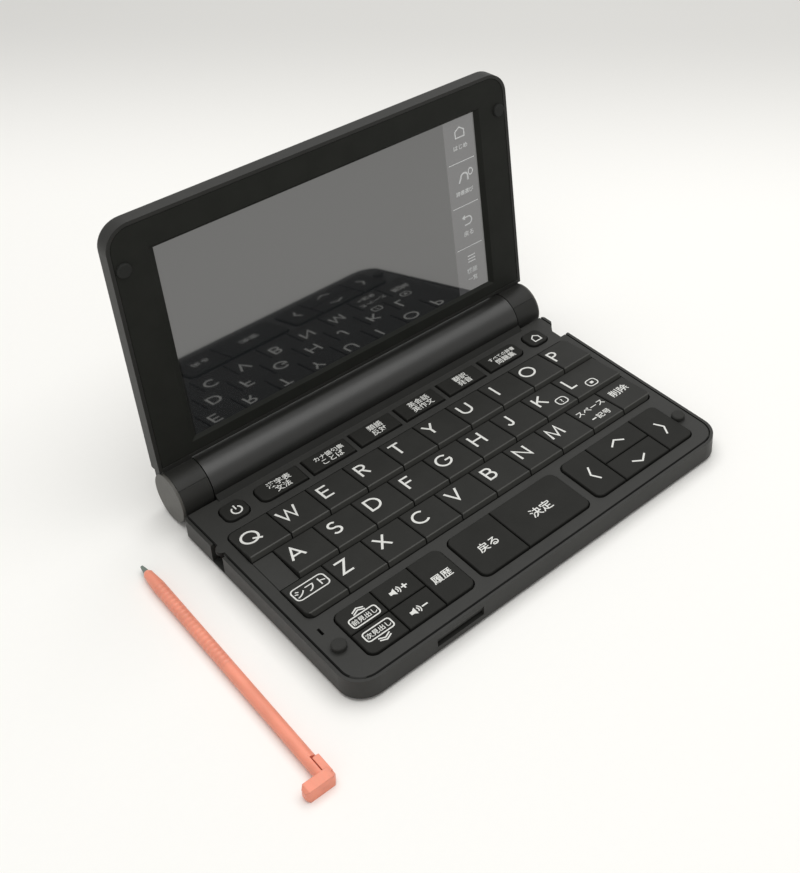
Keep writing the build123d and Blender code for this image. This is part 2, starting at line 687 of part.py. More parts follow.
def key_mat():
    """Rubber key mat on the board, with one dome under each key."""
    mat = prism(board_plan(MAT_T), MAT_UNDER, MAT_UNDER + MAT_T)
    x0 = LEFT + SLOT_FROM_LEFT - 2 * SOCKET_WALL
    y1 = FRONT + WALL_T + JACK_CLEAR + SOCKET_L + SOCKET_WALL
    mat -= block(x0, x0 + SLOT_W + 4 * SOCKET_WALL, FRONT, y1, MAT_UNDER, MAT_UNDER + MAT_T)
    cells = {**LETTER_CELLS, **FUNCTION_CELLS, **CLUSTER_CELLS}
    for name, cell in cells.items():
        x, y = stem_place(name, cell)
        foot = Pos(x, y) * RegularPolygon(STEM_SIDE / 2, DOME_SIDES)
        mat += prism(foot, MAT_UNDER + MAT_T, DOME_TOP)
    return mat


# ---- hinge barrel -----------------------------------------------------------------------
def hinge_pin(side):
    """Steel pin that carries one lid knuckle."""
    x0 = BARREL_HALF - PIN_IN_BARREL
    x1 = KNUCKLE_IN + PIN_IN_KNUCKLE
    if side < 0:
        x0, x1 = -x1, -x0
    return barrel_disc(PIN_R, x0, x1)


def hinge_barrel():
    """Fixed middle of the barrel: battery tube, end blocks, front flange and the two pins."""
    tube = barrel_disc(BARREL_R, -BARREL_HALF, BARREL_HALF)
    flange_y = REAR_DECK - FLANGE_L + CRADLE_CLEAR
    flange_x = BARREL_HALF - END_WALL_T
    tube += block(-flange_x, flange_x, flange_y, HINGE_Y - BARREL_BORE_R, DECK_UNDER - FLANGE_T, DECK_UNDER)
    tube -= barrel_disc(BARREL_BORE_R, -BORE_HALF, BORE_HALF)
    cut = COVER_HALF + COVER_GAP
    spread = math.degrees(COVER_GAP / BARREL_R)
    start = COVER_FROM - spread
    end = COVER_TO + spread
    tube -= ring_sector(BARREL_BORE_R / 2, BARREL_R + BARREL_WALL, start, end, -cut, cut)
    bore = PIN_R + PIN_CLEAR
    for side in (-1, 1):
        x0 = side * (BARREL_HALF - PIN_IN_BARREL)
        x1 = side * BARREL_HALF
        tube -= barrel_disc(bore, min(x0, x1), max(x0, x1))
    return Compound(children=[tube, hinge_pin(-1), hinge_pin(1)])


def battery_cover():
    """Curved battery door that comes away to the rear."""
    cover = ring_sector(BARREL_BORE_R, BARREL_R, COVER_FROM, COVER_TO, -COVER_HALF, COVER_HALF)
    return cover


def battery_cells():
    """Two cells end to end with the sheet contacts at both ends."""
    solids = []
    start = -CELL_SPAN / 2
    for index in range(2):
        x0 = start + index * (CELL_L + CELL_NUB_L)
        cell = barrel_disc(CELL_R, x0, x0 + CELL_L)
        solids.append(cell + barrel_disc(CELL_NUB_R, x0 + CELL_L, x0 + CELL_L + CELL_NUB_L))
    half = CELL_SPAN / 2
    contact = CELL_R - CELL_NUB_L
    solids.append(barrel_disc(contact, -half - CONTACT_T, -half))
    solids.append(barrel_disc(contact, half, half + CONTACT_T))
    return Compound(children=solids)


# ---- lid, in its own frame: X across, Y up the lid from the hinge, Z out of the screen ---
def lid_plan(inset):
    """Lid outline with rounded top corners."""
    half = LID_HALF - inset
    radius = LID_CORNER_R - inset
    return rounded_plan(-half, half, LID_LOW + inset, LID_HIGH - inset, radius, ("rl", "rr"))


def lid_shell():
    """Back cover sheet and rim, softened round its back edge."""
    shell = prism(lid_plan(0), LID_BACK_W, LID_FRONT_W)
    back = shell.faces().sort_by(Axis.Z)[0]
    low_edge = back.edges().sort_by(Axis.Y)[0]
    shell = fillet([edge for edge in back.edges() if edge != low_edge], LID_BACK_EDGE)
    return shell - prism(lid_plan(LID_RIM_T), COVER_INNER_W, LID_FRONT_W)


def lid_disc(radius, x0, x1):
    """Cylinder on the hinge axis, in the lid's own frame."""
    plane = Plane(origin=(x0, 0, 0), x_dir=(0, 1, 0), z_dir=(1, 0, 0))
    return extrude(plane * Circle(radius), amount=x1 - x0, dir=(1, 0, 0))


def knuckle(side):
    """End of the barrel that turns with the lid, with its stepped end disc and pin bore."""
    body = lid_disc(BARREL_R, KNUCKLE_IN, KNUCKLE_OUT - END_DISC_T)
    body += lid_disc(BARREL_R - END_DISC_STEP, KNUCKLE_OUT - END_DISC_T, KNUCKLE_OUT)
    body += block(KNUCKLE_IN, KNUCKLE_OUT - END_DISC_T, 0, LID_LOW + LID_RIM_T, LID_BACK_W, LID_FRONT_W)
    body -= lid_disc(PIN_R + PIN_CLEAR, KNUCKLE_IN, KNUCKLE_IN + PIN_IN_KNUCKLE + PIN_CLEAR)
    half = KNUCKLE_LINE_W / 2
    line = block(KNUCKLE_IN, KNUCKLE_OUT, BARREL_R - KNUCKLE_LINE_DEPTH, BARREL_R + END_DISC_T, -half, half)
    body -= Rot(KNUCKLE_LINE_AT, 0, 0) * line
    return body if side > 0 else mirror(body, Plane.YZ)


def lid_back_cover():
    """Back of the lid with its two barrel knuckles."""
    return LID_FRAME * (lid_shell() + knuckle(1) + knuckle(-1))


def window_tool():
    """Bevelled screen window: wide at the front face, screen size at the glass."""
    mid = (WINDOW_LOW + WINDOW_HIGH) / 2
    front = Rectangle(WINDOW_W + 2 * WINDOW_SIDE_BEVEL, WINDOW_H + 2 * WINDOW_END_BEVEL)
    rear = Rectangle(WINDOW_W, WINDOW_H)
    return loft([Pos(0, mid, BEZEL_FRONT_W) * front, Pos(0, mid, GLASS_FRONT_W) * rear])


def lid_bezel():
    """Black frame round the screen: bevelled window, skirt down to the cover, cushions."""
    inset = LID_RIM_T + LID_SEAM
    plate = prism(lid_plan(inset), COVER_INNER_W, BEZEL_FRONT_W)
    plate -= prism(lid_plan(inset + BEZEL_SKIRT_T), COVER_INNER_W, GLASS_FRONT_W)
    plate -= window_tool()
    for side in (-1, 1):
        x = side * (LID_HALF - LID_CUSHION_INSET)
        plate += cushion(x, LID_HIGH - LID_CUSHION_DOWN, BEZEL_FRONT_W, LID_CUSHION_H)
    return LID_FRAME * plate


def screen_sheet(lap, w0, w1):
    """Flat sheet behind the window, wider than it all round."""
    half = WINDOW_W / 2 + lap
    return LID_FRAME * block(-half, half, WINDOW_LOW - lap, WINDOW_HIGH + lap, w0, w1)


def touch_panel():
    """Touch glass against the back of the bezel."""
    return screen_sheet(GLASS_LAP, MODULE_FRONT_W, GLASS_FRONT_W)


def display_module():
    """Screen module between the glass and the back cover."""
    return screen_sheet(MODULE_LAP, COVER_INNER_W, MODULE_FRONT_W)


# ---- stylus, in its own frame: Y from the head end to the tip ----------------------------
def stylus_shaft():
    """Turned shaft with long taper, shoulder and fine nib."""
    points = [
        (0, STYLUS_HEAD_L / 2),
        (STYLUS_R, STYLUS_HEAD_L / 2),
        (STYLUS_R, STYLUS_L - STYLUS_NECK_L),
        (STYLUS_SHOULDER_R, STYLUS_L - STYLUS_SHOULDER_L),
        (STYLUS_NIB_R, STYLUS_L - STYLUS_NIB_L),
        (STYLUS_TIP_R, STYLUS_L),
        (0, STYLUS_L),
    ]
    return revolve(make_face(Polyline(points, close=True)), Axis.Y)


def stylus_head():
    """Bar-shaped head across the shaft, all its edges broken."""
    half = STYLUS_HEAD_H / 2
    head = block(-STYLUS_HEAD_LEFT, STYLUS_HEAD_RIGHT, 0, STYLUS_HEAD_L, -half, half)
    return chamfer(head.edges().filter_by(Axis.Y) + head.edges().filter_by(Axis.Z), STYLUS_HEAD_EDGE)


def spring_arm():
    """Arm that grips the case: it runs from the head along the shaft, with a slit between."""
    end = STYLUS_HEAD_L + STYLUS_ARM_L
    x0 = STYLUS_SLIT
    arm = block(x0, x0 + STYLUS_ARM_T, STYLUS_HEAD_L / 2, end, -STYLUS_R, STYLUS_R)
    tip = arm.faces().sort_by(Axis.Y)[-1]
    return chamfer(tip.edges(), STYLUS_ARM_EDGE)


def stylus():
    """Stylus lying on the table left of the case: head and neck both touch the table."""
    end = STYLUS_HEAD_L + STYLUS_ARM_L + STYLUS_SLIT
    shaft = stylus_shaft() - block(0, STYLUS_R, STYLUS_HEAD_L, end, -STYLUS_R, STYLUS_R)
    drop = STYLUS_HEAD_H / 2 - STYLUS_R
    dip = math.degrees(math.atan(drop / (STYLUS_L - STYLUS_NECK_L)))
    lift = STYLUS_HEAD_H / 2 + STYLUS_HEAD_L * math.sin(math.radians(dip))
    place = Pos(LEFT - STYLUS_FROM_CASE, FRONT - STYLUS_AHEAD, lift)
    return place * Rot(0, 0, STYLUS_TURN) * Rot(-dip, 0, 0) * (shaft + stylus_head() + spring_arm())


# ---- export -----------------------------------------------------------------------------
def all_parts():
    """Every node of the assembly by name."""
    parts = {
        "lower_case": lower_case(),
        "keyboard_deck": keyboard_deck(),
        "main_board": main_board(),
        "key_mat": key_mat(),
        "hinge_barrel": hinge_barrel(),
        "battery_cover": battery_cover(),
        "battery_cells": battery_cells(),
        "lid_back_cover": lid_back_cover(),
        "lid_bezel": lid_bezel(),
        "touch_panel": touch_panel(),
        "display_module": display_module(),
        "stylus": stylus(),
    }
    for name in LETTER_CELLS:
        parts["key_" + name] = letter_key(name)
    for name, cell in {**FUNCTION_CELLS, **CLUSTER_CELLS}.items():
        parts["key_" + name] = flat_key(name, cell)
    return parts


os.makedirs("parts", exist_ok=True)
for node, shape in all_parts().items():
    export_step(shape, "parts/" + node + ".step")
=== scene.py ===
import logging
import math
from dataclasses import dataclass
from enum import Enum
from functools import partialmethod
from typing import Sequence, Union

import bpy
import numpy as np
from mathutils import Matrix, Vector
from mathutils.geometry import delaunay_2d_cdt


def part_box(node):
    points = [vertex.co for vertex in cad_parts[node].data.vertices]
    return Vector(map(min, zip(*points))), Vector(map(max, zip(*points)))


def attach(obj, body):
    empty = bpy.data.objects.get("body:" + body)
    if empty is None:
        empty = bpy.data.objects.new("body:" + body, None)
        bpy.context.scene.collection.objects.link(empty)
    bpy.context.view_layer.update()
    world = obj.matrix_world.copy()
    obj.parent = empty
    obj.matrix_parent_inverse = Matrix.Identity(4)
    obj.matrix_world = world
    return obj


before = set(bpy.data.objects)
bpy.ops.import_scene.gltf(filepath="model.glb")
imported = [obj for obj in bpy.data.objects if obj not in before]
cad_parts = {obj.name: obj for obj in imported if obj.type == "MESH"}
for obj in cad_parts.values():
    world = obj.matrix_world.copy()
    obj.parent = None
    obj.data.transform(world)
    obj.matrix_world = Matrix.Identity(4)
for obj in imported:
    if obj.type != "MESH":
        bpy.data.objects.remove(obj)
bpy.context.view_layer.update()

LOG = logging.getLogger("dictionary")
MM = 0.001

HINGE_Y, HINGE_Z = 44.2, 9.07  # the lid's axis, in millimetres
NEAR = 1e-6  # points closer than this are one
ARC_STEP = 12  # degrees from one point of an arc to the next
SHARPEST = 0.45  # least cosine of a half turn that a mitre follows
WORD_FOOT, WORD_SWELL, WORD_STEPS = -0.08, 0.012, 3  # of the built-in face at size 1

Colour = tuple[float, float, float]
Shape = tuple[np.ndarray, np.ndarray]
Material = bpy.types.Material


def tone(red: int, green: int, blue: int) -> Colour:
    """Linear colour of a display colour, whose parts run from 0 to 255."""
    parts = (part / 255.0 for part in (red, green, blue))
    return tuple(v / 12.92 if v <= 0.04045 else ((v + 0.055) / 1.055) ** 2.4 for v in parts)


def shade(colour: Colour, share: float, more: float = 0.0) -> Colour:
    """A share of a colour, with a little white added."""
    return tuple(min(1.0, c * share + more) for c in colour)


# ---- shader arithmetic ----
class Value:
    """A number, colour or vector inside a shader, with arithmetic that adds Math nodes."""

    def __init__(self, graph: "Graph", socket: bpy.types.NodeSocket) -> None:
        """Keeps the shader and the output socket that carries the value."""
        self.graph, self.socket = graph, socket

    def math(self, operation: str, *terms: "Term") -> "Value":
        """Math node with this value as its first term."""
        inputs = dict(enumerate((self, *terms)))
        return self.graph.value("ShaderNodeMath", {"operation": operation}, inputs)

    def turned(self, operation: str, term: "Term") -> "Value":
        """Math node with this value as its second term."""
        return self.graph.value("ShaderNodeMath", {"operation": operation}, {0: term, 1: self})

    def vector(self, operation: str, term: "Term") -> "Value":
        """Vector Math node with this value as its first term."""
        return self.graph.value("ShaderNodeVectorMath", {"operation": operation}, {0: self, 1: term})

    __add__ = partialmethod(math, "ADD")
    __radd__ = partialmethod(turned, "ADD")
    __sub__ = partialmethod(math, "SUBTRACT")
    __rsub__ = partialmethod(turned, "SUBTRACT")
    __mul__ = partialmethod(math, "MULTIPLY")
    __rmul__ = partialmethod(turned, "MULTIPLY")
    __truediv__ = partialmethod(math, "DIVIDE")
    __rtruediv__ = partialmethod(turned, "DIVIDE")
    __abs__ = partialmethod(math, "ABSOLUTE")

    def step(self, low: float, high: float) -> "Value":
        """Smooth rise from 0 at low to 1 at high."""
        limits = {"Value": self, "From Min": low, "From Max": high}
        return self.graph.value("ShaderNodeMapRange", {"interpolation_type": "SMOOTHSTEP"}, limits)


Term = Union[Value, float, Sequence[float]]


class Graph:
    """Node tree of one material or of the world."""

    def __init__(self, name: str, owner: bpy.types.World | None = None) -> None:
        """Starts an empty tree.

        Args:
            name: Name of the material.
            owner: World whose tree it is, if it isn't a material's.
        """
        self.owner = owner or bpy.data.materials.new(name)
        self.owner.use_nodes = True
        self.tree = self.owner.node_tree
        self.tree.nodes.clear()

    def node(
        self, kind: str, settings: dict | None = None, inputs: dict | None = None
    ) -> bpy.types.Node:
        """Adds one node: its type first, then its settings, then its inputs.

        Args:
            kind: Type of the node.
            settings: Properties of the node.
            inputs: Input name or number to a value, number or vector.

        Returns:
            The node.
        """
        made = self.tree.nodes.new(kind)
        for key, setting in (settings or {}).items():
            setattr(made, key, setting)
        for key, term in (inputs or {}).items():
            socket = made.inputs[key]
            if isinstance(term, Value):
                self.tree.links.new(term.socket, socket)
            elif socket.type == "RGBA" and len(term) == 3:
                socket.default_value = (*term, 1.0)
            else:
                socket.default_value = term
        return made

    def value(
        self, kind: str, settings: dict | None = None, inputs: dict | None = None, output: int | str = 0
    ) -> Value:
        """Adds one node and returns one of its outputs, chosen by name or number."""
        return Value(self, self.node(kind, settings, inputs).outputs[output])

    def place(self, centre: Sequence[float] = (0.0, 0.0, 0.0)) -> Value:
        """Object coordinates in millimetres, measured from a centre.

        Args:
            centre: The centre, in metres.

        Returns:
            The coordinates.
        """
        where = self.value("ShaderNodeTexCoord", output="Object")
        shift = tuple(-1000.0 * v for v in centre)
        inputs = {"Vector": where, "Location": shift, "Scale": (1000.0, 1000.0, 1000.0)}
        return self.value("ShaderNodeMapping", {"vector_type": "POINT"}, inputs)

    def parts(self, vector: Value) -> tuple[Value, Value, Value]:
        """The three parts of a vector."""
        made = self.node("ShaderNodeSeparateXYZ", None, {0: vector})
        return tuple(Value(self, made.outputs[i]) for i in range(3))

    def noise(self, vector: Value, scale: float, detail: float = 2.0, rough: float = 0.5) -> Value:
        """Cloud-like noise from 0 to 1: spots to a unit, number and strength of finer layers."""
        inputs = {"Vector": vector, "Scale": scale, "Detail": detail, "Roughness": rough}
        return self.value("ShaderNodeTexNoise", None, inputs)

    def blend(self, factor: Term, first: Term, second: Term) -> Value:
        """Mix of two colours, by the share of the second."""
        inputs = {0: factor, 6: first, 7: second}
        return self.value("ShaderNodeMix", {"data_type": "RGBA"}, inputs, 2)

    def rounded(self, radius: float) -> Value:
        """Normal that rounds the edges by a radius in metres."""
        return self.value("ShaderNodeBevel", {"samples": 4}, {"Radius": radius}, "Normal")

    def bump(self, height: Value, depth: float, normal: Value | None = None) -> Value:
        """Normal bent by a height from 0 to 1, that stands for a depth in metres."""
        under = {} if normal is None else {"Normal": normal}
        return self.value("ShaderNodeBump", None, {"Height": height, "Distance": depth, **under})

    def surface(self, base: Value, rough: Value, normal: Value, more: dict | None = None) -> Material:
        """Ends the tree with one principled surface.

        Args:
            base: Its colour.
            rough: Its roughness.
            normal: Its normal.
            more: Name to value of its other inputs.

        Returns:
            The finished material.
        """
        inputs = {"Base Color": base, "Roughness": rough, "Normal": normal, **(more or {})}
        shader = self.value("ShaderNodeBsdfPrincipled", None, inputs)
        self.node("ShaderNodeOutputMaterial", None, {"Surface": shader})
        return self.owner


# ---- finishes ----
@dataclass(frozen=True)
class Moulded:
    """Moulded plastic: fine spark-etched grain, faint flow marks, edges a little polished and paler,
    partly rubbed wear and partly a painted highlight.
    """

    name: str
    colour: Colour
    roughness: float = 0.5
    specular: float = 0.5
    grain: float = 5.0
    grain_depth: float = 0.012
    mottle: float = 0.05
    edge: float = 0.15
    # how much paler the edges and grain spots get: rubbed wear and a painted highlight on the edges
    edge_gain: float = 0.25

    def make(self) -> Material:
        """Builds the material.

        Returns:
            The material.
        """
        graph = Graph(self.name)
        spot = graph.place()
        fine = graph.noise(spot, self.grain, 3.0, 0.6)
        broad = graph.noise(spot, 0.11, 3.0, 0.55)
        rub = graph.noise(spot, 0.6, 4.0, 0.65)
        soft = graph.rounded(self.edge * MM)
        flat = graph.value("ShaderNodeNewGeometry", output="Normal")
        dot = {"operation": "DOT_PRODUCT"}
        level = graph.value("ShaderNodeVectorMath", dot, {0: soft, 1: flat}, "Value")
        # edge mask: the edges are painted paler, partly as rubbed wear and partly as a painted highlight
        wear_and_highlight = (1.0 - level).step(0.005, 0.16) * rub.step(0.3, 0.7)
        pale = shade(self.colour, 1.0 + self.mottle, 0.001)
        deep = shade(self.colour, 1.0 - self.mottle)
        grain_wear_and_sheen = shade(self.colour, 1.0 + self.edge_gain, 0.002)
        base = graph.blend(broad.step(0.3, 0.7), deep, pale)
        base = graph.blend(fine.step(0.42, 0.8) * 0.35, base, grain_wear_and_sheen)
        # edges painted paler: part wear, part painted highlight
        base = graph.blend(wear_and_highlight, base, grain_wear_and_sheen)
        rough = self.roughness + (rub - 0.5) * 0.12 - wear_and_highlight * 0.1
        normal = graph.bump(fine, self.grain_depth * MM, soft)
        return graph.surface(base, rough, normal, {"Specular IOR Level": self.specular})


@dataclass(frozen=True)
class Ink:
    """Printed marking: thin pad-printed ink with a slightly uneven film."""

    name: str
    colour: Colour

    def make(self) -> Material:
        """Builds the material.

        Returns:
            The material.
        """
        graph = Graph(self.name)
        spot = graph.place()
        film = graph.noise(spot, 3.5, 3.0, 0.6)
        thin = shade(self.colour, 0.9)
        base = graph.blend(film.step(0.35, 0.6), thin, self.colour)
        normal = graph.bump(graph.noise(spot, 9.0), 0.004 * MM)
        rough = 0.5 + (film - 0.5) * 0.15
        return graph.surface(base, rough, normal, {"Specular IOR Level": 0.3})


@dataclass(frozen=True)
class Metal:
    """Drawn or stamped metal with fine lines along one direction."""

    name: str
    colour: Colour
    roughness: float = 0.3
    stretch: tuple[float, float, float] = (0.4, 12.0, 12.0)

    def make(self) -> Material:
        """Builds the material.

        Returns:
            The material.
        """
        graph = Graph(self.name)
        spot = graph.place()
        lines = graph.noise(spot.vector("MULTIPLY", self.stretch), 1.0, 4.0, 0.6)
        dull = shade(self.colour, 0.8)
        base = graph.blend(lines.step(0.3, 0.7), dull, self.colour)
        rough = self.roughness + (lines - 0.5) * 0.2
        normal = graph.bump(lines, 0.004 * MM, graph.rounded(0.15 * MM))
        return graph.surface(base, rough, normal, {"Metallic": 1.0})


@dataclass(frozen=True)
class Rubber:
    """Soft rubber: dull, with a dusty bloom."""

    name: str
    colour: Colour

    def make(self) -> Material:
        """Builds the material.

        Returns:
            The material.
        """
        graph = Graph(self.name)
        spot = graph.place()
        bloom = graph.noise(spot, 1.3, 4.0, 0.6)
        pale = shade(self.colour, 1.5, 0.01)
        base = graph.blend(bloom.step(0.4, 0.9) * 0.5, self.colour, pale)
        normal = graph.bump(graph.noise(spot, 6.0), 0.01 * MM, graph.rounded(0.2 * MM))
        rough = 0.75 + (bloom - 0.5) * 0.15
        return graph.surface(base, rough, normal, {"Specular IOR Level": 0.25})


@dataclass(frozen=True)
class Board:
    """Circuit board: green lacquer over pale tracks, with tinned pads."""

    name: str = "board_lacquer"

    def make(self) -> Material:
        """Builds the material.

        Returns:
            The material.
        """
        graph = Graph(self.name)
        spot = graph.place()
        x, y, _ = graph.parts(spot)
        across = abs((x * 0.35).math("FRACT") - 0.5).step(0.3, 0.36)
        along = abs((y * 0.35).math("FRACT") - 0.5).step(0.3, 0.36)
        choose = graph.noise(spot, 0.08, 1.0).step(0.49, 0.51)
        track = across * choose + along * (1.0 - choose)
        edges = {"feature": "DISTANCE_TO_EDGE"}
        pad = graph.value("ShaderNodeTexVoronoi", edges, {"Vector": spot, "Scale": 0.22}).step(0.42, 0.46)
        base = graph.blend(track, tone(18, 92, 52), tone(34, 122, 70))
        base = graph.blend(pad, base, tone(186, 190, 186))
        rough = 0.35 - pad * 0.05
        normal = graph.bump(track, 0.03 * MM)
        return graph.surface(base, rough, normal, {"Coat Weight": 0.4})


@dataclass(frozen=True)
class ScreenGlass:
    """Touch glass over the switched-off display, with the paler strip of touch signs.

    The touch film isn't quite flat, so that what it mirrors seems to lie a little lower.
    """

    name: str
    middle: float
    half_width: float
    strip: float
    screen: Colour = tone(27, 29, 31)
    touch: Colour = tone(88, 88, 90)
    border: Colour = tone(14, 15, 15)
    sag: tuple[float, float, float] = (0.0238, 0.0, 0.0697)

    def make(self) -> Material:
        """Builds the material.

        Returns:
            The material.
        """
        graph = Graph(self.name)
        spot = graph.place((0.0, 0.0, self.middle * MM))
        x, _, _ = graph.parts(spot)
        haze = graph.noise(spot, 0.03, 2.0)
        dots = graph.value("ShaderNodeTexVoronoi", {"feature": "F1"}, {"Vector": spot, "Scale": 3.2})
        in_strip = x.step(self.strip - 0.05, self.strip + 0.05)
        rim = abs(x).step(self.half_width - 0.55, self.half_width - 0.35)
        pale = shade(self.screen, 1.06)
        base = graph.blend(haze.step(0.3, 0.7), self.screen, pale)
        base = graph.blend(in_strip, base, self.touch)
        base = graph.blend(dots.step(0.0, 0.5) * 0.004, base, (1.0, 1.0, 1.0))
        base = graph.blend(rim, base, self.border)
        wipe = graph.noise(spot.vector("MULTIPLY", (0.02, 0.3, 0.09)), 1.0, 5.0, 0.65)
        rough = 0.04 + (wipe - 0.5) * 0.03
        turn = {"vector_type": "VECTOR", "convert_from": "OBJECT", "convert_to": "WORLD"}
        sag = graph.value("ShaderNodeVectorTransform", turn, {"Vector": self.sag})
        flat = graph.value("ShaderNodeNewGeometry", output="Normal")
        leaned = flat.vector("ADD", sag).vector("NORMALIZE", (0.0, 0.0, 0.0))
        normal = graph.bump(wipe, 0.0008 * MM, leaned)
        return graph.surface(base, rough, normal, {"IOR": 2.28})


@dataclass(frozen=True)
class DisplayPanel:
    """Back of the display: pale polariser in a dark frame, with fine pixel rows."""

    name: str = "display_sheet"

    def make(self) -> Material:
        """Builds the material.

        Returns:
            The material.
        """
        graph = Graph(self.name)
        spot = graph.place()
        x, _, z = graph.parts(spot)
        rows = abs((z * 4.0).math("FRACT") - 0.5).step(0.42, 0.5)
        columns = abs((x * 4.0).math("FRACT") - 0.5).step(0.42, 0.5)
        grid = rows.math("MAXIMUM", columns)
        frame_edge = abs(x).step(59.4, 59.7)
        base = graph.blend(grid * 0.4, tone(118, 124, 118), tone(70, 76, 72))
        base = graph.blend(frame_edge, base, tone(168, 170, 168))
        rough = 0.45 + frame_edge * 0.1
        normal = graph.bump(graph.noise(spot, 2.0), 0.01 * MM, graph.rounded(0.2 * MM))
        return graph.surface(base, rough, normal)


@dataclass(frozen=True)
class CellLabel:
    """Battery cell: bare can ends and a two-coloured printed sleeve."""

    name: str
    length: float

    def make(self) -> Material:
        """Builds the material.

        Returns:
            The material.
        """
        graph = Graph(self.name)
        x, _, _ = graph.parts(graph.place())
        station = ((x / self.length).math("FRACT") + 1.0).math("FRACT")
        sleeve = station.step(0.03, 0.035) * (1.0 - station.step(0.93, 0.935))
        band = station.step(0.7, 0.705)
        label = graph.blend(band, tone(44, 60, 92), tone(176, 134, 58))
        base = graph.blend(sleeve, tone(196, 196, 192), label)
        scuff = graph.noise(graph.place(), 0.8, 4.0)
        rough = 0.32 + scuff * 0.15
        normal = graph.bump(scuff, 0.01 * MM)
        return graph.surface(base, rough, normal, {"Metallic": 1.0 - sleeve * 0.8})


@dataclass(frozen=True)
class StylusPlastic:
    """Coral stylus plastic with fine grip rings near the tip and a grey nib; the grooves between the
    rings are painted darker as shade.
    """

    name: str
    nib_from: float
    grip_from: float
    grip_to: float
    colour: Colour = tone(240, 150, 124)
    nib: Colour = tone(108, 120, 112)

    def make(self) -> Material:
        """Builds the material.

        Returns:
            The material.
        """
        graph = Graph(self.name)
        spot = graph.place()
        _, y, _ = graph.parts(spot)
        tip = y.step(self.nib_from - 0.05, self.nib_from + 0.05)
        ring = abs((y * 0.55).math("FRACT") - 0.5).step(0.1, 0.45)
        held = y.step(self.grip_from, self.grip_from + 0.6)
        held = held * (1.0 - y.step(self.grip_to - 0.6, self.grip_to))
        flow = graph.noise(spot.vector("MULTIPLY", (1.0, 0.25, 1.0)), 0.45, 3.0)
        warm = shade(self.colour, 1.05)
        cool = shade(self.colour, 0.94)
        base = graph.blend(flow.step(0.3, 0.7), cool, warm)
        # painted shade: darker in the grooves between the grip rings
        base = graph.blend((1.0 - ring) * held * 0.15, base, shade(self.colour, 0.6))
        base = graph.blend(tip, base, self.nib)
        fine = graph.noise(spot, 6.0, 3.0)
        soft = graph.rounded(0.35 * MM)
        normal = graph.bump(ring * held, 0.11 * MM, graph.bump(fine, 0.008 * MM, soft))
        rough = 0.42 + (flow - 0.5) * 0.12
        return graph.surface(base, rough, normal, {"Subsurface Weight": 0.08, "Subsurface Scale": MM})


@dataclass(frozen=True)
class Paper:
    """Pale floor with a barely visible fibre, that darkens a little far behind the object as painted
    shade of the light falling off.
    """

    name: str = "studio_paper"
    colour: Colour = tone(250, 249, 246)
    far_from: float = 220.0
    far_to: float = 500.0
    far_shade_share: float = 0.74

    def make(self) -> Material:
        """Builds the material.

        Returns:
            The material.
        """
        graph = Graph(self.name)
        spot = graph.place()
        fibre = graph.noise(spot, 0.4, 4.0)
        base = graph.blend(fibre.step(0.2, 0.8), shade(self.colour, 0.995), self.colour)
        x, y, _ = graph.parts(spot)
        # painted shade: the floor darker far behind the object, where the light falls off
        far = shade(self.colour, self.far_shade_share)
        base = graph.blend((x + y).step(self.far_from, self.far_to), base, far)
        rough = 0.9 + (fibre - 0.5) * 0.05
        normal = graph.bump(fibre, 0.01 * MM)
        return graph.surface(base, rough, normal, {"Specular IOR Level": 0.0})


class Finish(Enum):
    """Every finish of the object by use."""

    DECK = Moulded("deck_plastic", tone(44, 44, 42), 0.5, 0.25)
    KEY = Moulded("key_plastic", tone(42, 42, 40), 0.48, 0.14, 6.0, 0.01)
    FLAT_KEY = Moulded("flat_key_plastic", tone(38, 38, 36), 0.5, 0.08, 6.0, 0.01)
    # sloping key fronts: the key plastic painted lighter, a painted highlight of the light falling on
    # them
    KEY_FRONT_PAINTED_LIGHT = Moulded("key_front_painted_light", tone(58, 58, 55), 0.46, 0.3, 6.0, 0.01)
    # the rise in front of the barrel: deck plastic painted darker, a painted shade
    RISE_PAINTED_SHADE = Moulded("rise_painted_shade", tone(31, 31, 29), 0.5, 0.1)
    # deck edge chamfer: same plastic painted dark, a painted shade of the groove beside the rim
    GROOVE_PAINTED_SHADE = Moulded("groove_painted_shade", tone(22, 22, 21), 0.5, 0.1)
    CASE = Moulded("case_plastic", tone(44, 44, 42), 0.45, 0.25, 4.0)
    BARREL = Moulded("barrel_plastic", tone(29, 29, 27), 0.36, 0.5, 4.0, 0.006)
    SHELL = Moulded("lid_plastic", tone(38, 38, 36), 0.45, 0.2, 4.0)
    DISC = Moulded("disc_plastic", tone(84, 83, 79), 0.4, 0.2, 4.0)
    BEZEL = Moulded("bezel_plastic", tone(33, 34, 31), 0.62, 0.1, 4.0)
    SOCKET = Moulded("socket_plastic", tone(22, 22, 22), 0.5)
    DOOR = Moulded("door_plastic", tone(31, 31, 29), 0.38, 0.5, 4.0, 0.006)
    CUSHION = Rubber("cushion_rubber", tone(41, 41, 39))
    PAD = Rubber("pad_rubber", tone(31, 32, 30))
    MAT = Rubber("mat_rubber", tone(150, 150, 146))
    FEET = Rubber("foot_rubber", tone(34, 34, 33))
    PIN = Metal("pin_steel", tone(176, 176, 174))
    PLATE = Metal("plated_sheet", tone(196, 194, 186), 0.28, (6.0, 6.0, 6.0))
    INK = Ink("key_ink", tone(226, 226, 222))
    FAINT = Ink("icon_ink", tone(222, 224, 224))


_made: dict[str, Material] = {}


def coat(finish: object) -> Material:
    """Material of a finish, made once.

    Args:
        finish: Member of Finish, or a finish object.

    Returns:
        The material.
    """
    recipe = finish.value if isinstance(finish, Finish) else finish
    if recipe.name not in _made:
        _made[recipe.name] = recipe.make()
        LOG.info("finish %s", recipe.name)
    return _made[recipe.name]


